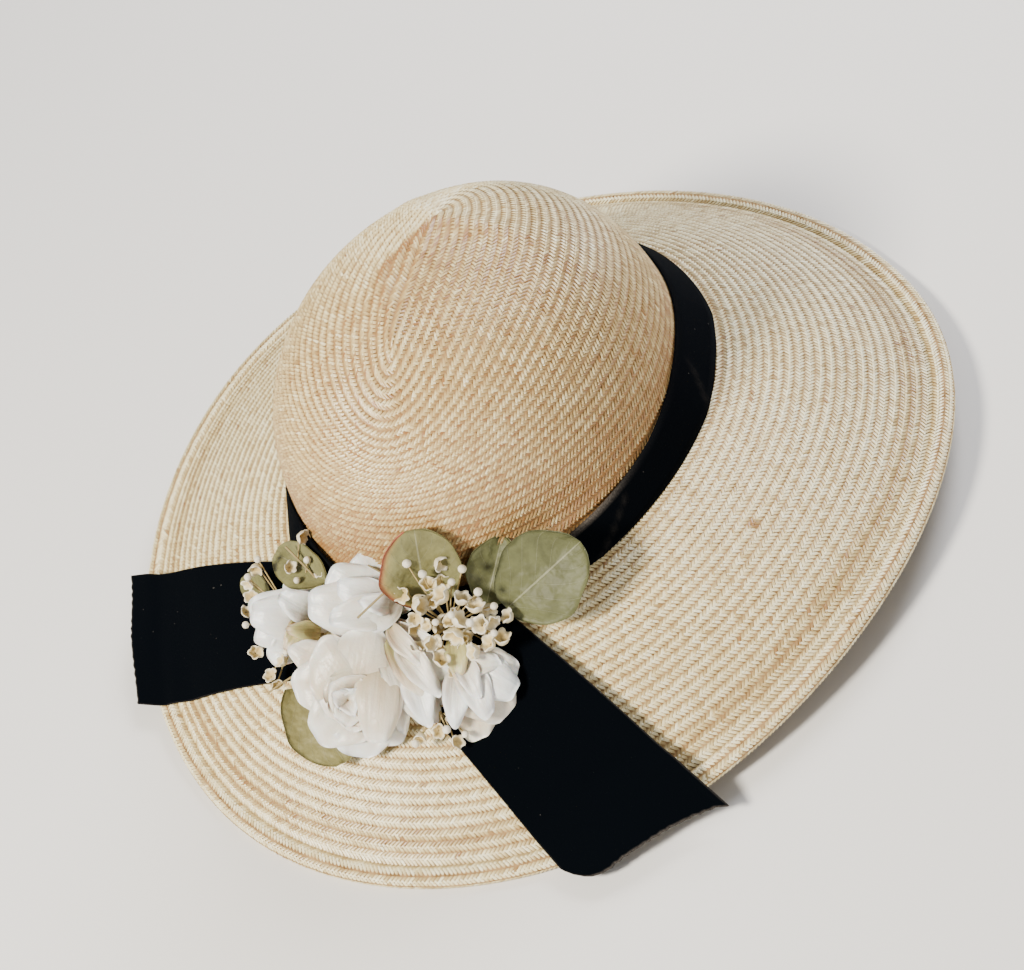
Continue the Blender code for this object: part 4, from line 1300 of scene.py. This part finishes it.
leaf_paint, tree, shader = node_material("dried_leaf_face", 0.55, Specular_IOR_Level=0.35)
across_leaf, along_leaf = split(tree, weave_place(tree))
off_middle = sums(tree, "ABSOLUTE", across_leaf)
mid_vein = sums(tree, "LESS_THAN", off_middle, VEIN_WIDTH)
up_leaf = sums(tree, "MULTIPLY", along_leaf, SIDE_VEINS)
slanting = sums(tree, "SUBTRACT", up_leaf, sums(tree, "MULTIPLY", off_middle, VEIN_SLANT))
side_vein = sums(tree, "LESS_THAN", sums(tree, "PINGPONG", slanting, 0.5), VEIN_WIDTH)
any_vein = sums(tree, "MAXIMUM", mid_vein, sums(tree, "MULTIPLY", side_vein, 0.45))
vein = sums(tree, "MULTIPLY", any_vein, 0.5)
leaf_tone = ramp(tree, own_tint(tree), [
    (0.0, (0.095, 0.105, 0.045)), (0.3, (0.155, 0.165, 0.075)), (0.6, (0.27, 0.245, 0.10)),
    (0.8, (0.33, 0.25, 0.085)), (1.0, (0.40, 0.10, 0.07)),
])
mottled = ramp(tree, noise(tree, 150.0, 5.0), [(0.3, (0.74, 0.72, 0.66)), (0.7, (1.06, 1.05, 1.0))])
leaf_base = blend(tree, 1.0, leaf_tone, mottled, "MULTIPLY")
tree.links.new(blend(tree, vein, leaf_base, VEIN_COLOUR), shader.inputs["Base Color"])
bump(tree, shader, sums(tree, "MULTIPLY_ADD", noise(tree, 65.0, 3.5), CRUMPLE_DEPTH, vein), 0.0022, 0.8)
print("made", leaf_paint.name)

# %% One leaf
LEAF_ROWS, LEAF_COLUMNS = 22, 17
LEAF_HALF_THICK = 0.25


def leaf_blade(root, tip, width, bulge, cup, tone, blush, blunt):
    u, v = blade_grid(LEAF_ROWS, LEAF_COLUMNS)
    line, side, out = blade_directions(root, tip)
    outline = np.sin(np.pi * (0.03 + 0.94 * u)) ** blunt
    waves = 1.0 + 0.045 * np.sin(7.0 * u + 2.0 * v + 9.0 * tone) + 0.02 * np.sin(17.0 * u + v)
    half = width / 2.0 * outline * waves
    crease = -0.6 * (1.0 - np.abs(v)) ** 3
    twist = 0.8 * np.sin(4.0 * u + 3.0 * v + tone * 9.0)
    height = bulge * 4.0 * u * (1.0 - u) + cup * v ** 2 + crease + twist
    place = np.asarray(root, dtype=float) + line * u[..., None] + side * (half * v)[..., None]
    points, faces = thin_sheet(place + out * height[..., None], LEAF_HALF_THICK)
    edge_blush = blush * smooth((np.abs(v - np.sign(blush)) * -1.0 + 0.35) / 0.35)
    tint = np.clip(tone + np.abs(edge_blush) * (1.0 - tone), 0.0, 1.0)
    vein_place = np.tile(np.stack([v.ravel(), u.ravel()], -1), (2, 1))
    return in_bouquet(points), faces, np.tile(tint.ravel(), 2), vein_place[faces]


def leaf(name, node, blades):
    points, faces, tints, weave = joined([leaf_blade(*row) for row in blades])
    piece = new_piece(name, points, faces, [leaf_paint], tints, weave)
    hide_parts(node)
    print(name, "has", len(blades), "blade" if len(blades) == 1 else "blades")


print("a leaf has", LEAF_ROWS, "by", LEAF_COLUMNS, "points on each side")

# %% Five leaves
# Each row: root, tip, width, bulge, cup, tone, blush of one side and how blunt it is
leaf("upper_leaf", "leaf_upper", (((26, 34, 0), (22, 63, 20), 32, 2.0, 2.0, 0.42, 1.0, 0.55),))
leaf("wide_leaf", "leaf_wide", (((57, 33, 9), (84, 58, 23), 35, 2.5, 2.0, 0.12, 0.0, 0.5),))
leaf("behind_leaf", "leaf_behind", (((49, 34, 1), (55, 60, 11), 21, 2.0, 1.0, 0.16, 0.0, 0.55),))
leaf("back_leaf", "leaf_back", (
    ((-14, 42, -26), (-36, 52, -50), 18, 2.0, 1.5, 0.42, 0.0, 0.55),
    ((-38, 34, -46), (-50, 42, -58), 11, 1.0, 1.0, 0.40, 0.0, 0.55),
))
leaf("lower_leaf", "leaf_lower", (((-27, 0, -33), (-6, -28, -13), 27, 2.0, 2.0, 0.55, 0.35, 0.55),))

# %% [markdown]
# The filler is a sprig of tiny cups and round buds on thread-like stems, dried to
# cream, each cup darker towards its foot and deep inside. They could be scattered over
# a surface, but in a trim this small each one is seen, so most are set one by one, and
# only those behind are placed by chance. One cup is a small turned form with five lobes
# round its mouth, a bud is a little ball, and the stems run together behind the blooms.

# %% Floret finish
floret_paint, tree, shader = node_material("dried_floret", 0.6, Specular_IOR_Level=0.3)
floret_tone = ramp(tree, own_tint(tree), [
    (0.0, (0.18, 0.15, 0.075)), (0.22, (0.46, 0.36, 0.17)), (0.42, (0.66, 0.52, 0.24)),
    (0.65, (0.80, 0.72, 0.48)), (1.0, (0.92, 0.89, 0.77)),
])
speckled = ramp(tree, noise(tree, 500.0, 3.0), [(0.3, (0.80, 0.76, 0.70)), (0.7, WHITE)])
tree.links.new(blend(tree, 1.0, floret_tone, speckled, "MULTIPLY"), shader.inputs["Base Color"])
bump(tree, shader, noise(tree, 700.0, 3.0), 0.0004, 0.4)
print("made", floret_paint.name)

# %% One cup
# Up the outside and down the inside: radius, height, how far open and tone of each ring
CUP_RINGS = np.array((
    (0.05, -0.85, 0.0, 0.35), (0.45, -0.74, 0.1, 0.55), (0.78, -0.38, 0.3, 0.66), (0.88, 0.00, 0.6, 0.74),
    (1.04, 0.28, 1.0, 0.95), (1.00, 0.36, 1.0, 0.92), (0.80, 0.12, 0.7, 0.60), (0.60, -0.20, 0.3, 0.44),
    (0.10, -0.34, 0.1, 0.34),
))
CUP_AROUND = 25


def circle_across(heading, hint, angle):
    # Unit circle square to a heading, with its first side square to the hint too
    side = unit(np.cross(heading, hint))
    return np.cos(angle)[:, None] * side + np.sin(angle)[:, None] * np.cross(heading, side)


def turned_cup(middle, size, facing, tone):
    # A cup with five round lobes, open towards facing
    radius, rise, open_share = (CUP_RINGS[:, i:i + 1] for i in range(3))
    angle = full_circle(CUP_AROUND)
    turn = chance.uniform(0.0, ANY_TURN)
    lobes = 1.0 + open_share * (0.34 * np.abs(np.cos(2.5 * angle + turn)) ** 0.7 - 0.22)
    lobes = lobes * (1.0 + 0.08 * np.sin(2.0 * angle + 3.0 * turn))
    lift = rise * size + open_share * 0.16 * size * np.sin(5.0 * angle + turn + 1.0)
    facing = unit(np.asarray(facing, dtype=float))
    ring = (radius * lobes * size)[..., None] * circle_across(facing, (0.3, 1.0, 0.2), angle)
    points = np.asarray(middle) + ring + lift[..., None] * facing
    faces = grid_quads(len(CUP_RINGS), CUP_AROUND, False, True)
    return points.reshape(-1, 3), faces, np.repeat(np.clip(CUP_RINGS[:, 3] + tone, 0.0, 1.0), CUP_AROUND)


print("a cup has", len(CUP_RINGS) * CUP_AROUND, "points")

# %% Buds and stems
BUD_LEVELS, BUD_AROUND = 9, 12
BUD_LENGTH = 1.15
STEM_STEPS, STEM_AROUND = 7, 6


def bud(middle, size, tone):
    level = np.linspace(0.02, np.pi - 0.02, BUD_LEVELS)
    angle = full_circle(BUD_AROUND)
    ring = np.stack([
        np.outer(np.sin(level), np.cos(angle)),
        np.outer(np.sin(level), np.sin(angle)),
        np.outer(np.cos(level), np.ones(BUD_AROUND)) * BUD_LENGTH,
    ], -1)
    points = (np.asarray(middle) + ring * size).reshape(-1, 3)
    return points, grid_quads(BUD_LEVELS, BUD_AROUND, False, True)[:, ::-1], np.full(len(points), tone)


def stem(start, end, thick, sag, tone):
    # A thin round stem with a slight bend
    along = np.linspace(0.0, 1.0, STEM_STEPS)[:, None]
    start, end = np.asarray(start, dtype=float), np.asarray(end, dtype=float)
    drop = np.array((chance.uniform(-0.4, 0.4), chance.uniform(-0.4, 0.4), -1.0)) * sag
    line = start + (end - start) * along + drop * 4.0 * along * (1.0 - along)
    ring = thick * circle_across(unit(end - start), (0.2, 0.3, 1.0), full_circle(STEM_AROUND))
    points = (line[:, None] + ring[None]).reshape(-1, 3)
    return points, grid_quads(STEM_STEPS, STEM_AROUND, False, True), np.full(len(points), tone)


print("a bud has", BUD_LEVELS * BUD_AROUND, "points and a stem", STEM_STEPS * STEM_AROUND)

# %% One sprig


def filler_cups(middle, spread, count):
    # Cups placed by chance round a middle
    x, y, z = middle
    cups = []
    for _ in range(count):
        way, out = chance.uniform(0.0, ANY_TURN), spread * math.sqrt(chance.random())
        place = (x + out * math.cos(way), y + out * math.sin(way), z + chance.uniform(-3.0, 3.0))
        cups.append((*place, chance.uniform(2.5, 3.3)))
    return cups


def sprig(name, node, cups, buds, gather, stems=(), filler=()):
    # Cups and buds are places and sizes in the bouquet frame, and gather is where the
    # stems meet. Filler adds cups by chance round a middle, behind the others.
    parts = []
    cups = list(cups)
    gather = np.asarray(gather, dtype=float)
    for row in filler:
        cups += filler_cups(*row)
    for x, y, z, size in cups:
        facing = np.array((chance.normal(0.0, 0.75), chance.normal(0.1, 0.75), 0.9))
        middle = np.array((x, y, z), dtype=float)
        parts.append(turned_cup(middle, size, facing, chance.uniform(-0.10, 0.12)))
        parts.append(stem(middle - unit(facing) * size * 0.7, gather, 0.30, 2.0, 0.20))
    for x, y, z, size in buds:
        middle = np.array((x, y, z), dtype=float)
        parts.append(bud(middle, size, chance.uniform(0.88, 1.0)))
        parts.append(stem(middle, gather + (middle - gather) * 0.25, 0.28, 1.5, 0.30))
    for start, end, thick, tone in stems:
        parts.append(stem(start, end, thick, -1.0, tone))
    points, faces, tints = joined(parts)
    piece = new_piece(name, in_bouquet(points), faces, [floret_paint], tints)
    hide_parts(node)
    print(name, "has", len(cups), "cups and", len(buds), "buds")


print("ready to make sprigs")

# %% Three sprigs
sprig(
    "right_sprig", "floret_spray_right",
    ((32, 50, 14, 3.2), (17, 38, 8, 3.4), (32, 38, 18, 3.8), (24, 34, 14, 3.6), (40, 37, 18, 3.4),
     (45, 34, 19, 3.3), (39, 29, 21, 3.5), (47, 27, 20, 3.4), (37, 23, 21, 3.8), (28, 20, 18, 3.1),
     (32, 14, 17, 3.4), (51, 28, 18, 3.1), (55, 22, 17, 3.5), (22, 29, 12, 2.8), (50, 20, 18, 3.2),
     (57, 30, 14, 2.9), (27, 42, 11, 3.0), (44, 17, 19, 3.1)),
    ((19, 50, 15, 1.8), (25, 46, 16, 1.7), (40, 48, 18, 1.7), (46, 39.5, 22, 1.7), (43, 28, 24, 1.6),
     (36, 31, 24, 1.5), (36, 43, 17, 1.5), (52, 34, 18, 1.5), (30, 28, 20, 1.4), (52, 24, 21, 1.4)),
    (35, 26, 3),
    (((14, 44, 9), (4, 49, 6), 0.40, 0.05), ((15, 43, 9), (0, 29, 8), 0.45, 0.10),
     ((13, 47, 6), (15, 38, 6), 0.45, 0.08)),
    (((34, 32, 10), 13.0, 12), ((28, 22, 8), 8.0, 6), ((46, 24, 11), 9.0, 6), ((40, 13, 11), 6.0, 6)),
)
sprig(
    "left_sprig", "floret_spray_left",
    ((-24, 59, -34, 2.9), (-43, 46, -38, 2.9), (-45, 35, -40, 2.7), (-47, 29, -40, 2.4), (-43, 13, -38, 2.8),
     (-37, 4, -36, 2.7), (-34, 0.5, -35, 2.4), (-17, 45, -30, 2.3), (-32, 10, -30, 2.6), (-29, 47, -33, 2.6),
     (-46, 40, -37, 2.3)),
    ((-46, 43, -36, 1.5), (-42, 50, -36, 1.5), (-22, 50, -30, 1.5), (-47, 24, -38, 1.5), (-30, 14, -27, 1.3),
     (-26, 42, -30, 1.4)),
    (-28, 26, -42),
    (((-38, -3, -36), (-26, 5, -34), 0.40, 0.15), ((-31, 55, -36), (-16, 40, -30), 0.45, 0.12)),
)
sprig(
    "lower_sprig", "floret_spray_lower",
    ((24, -17, 5, 2.6), (31, -14, 8, 2.7), (38, -18, 8, 2.7), (36, -8, 8, 2.5), (27, -9, 5, 2.4)),
    ((22, -19, 5, 1.6), (34, -13, 12, 1.7), (41, -15, 10, 1.4)),
    (30, -5, 2),
)
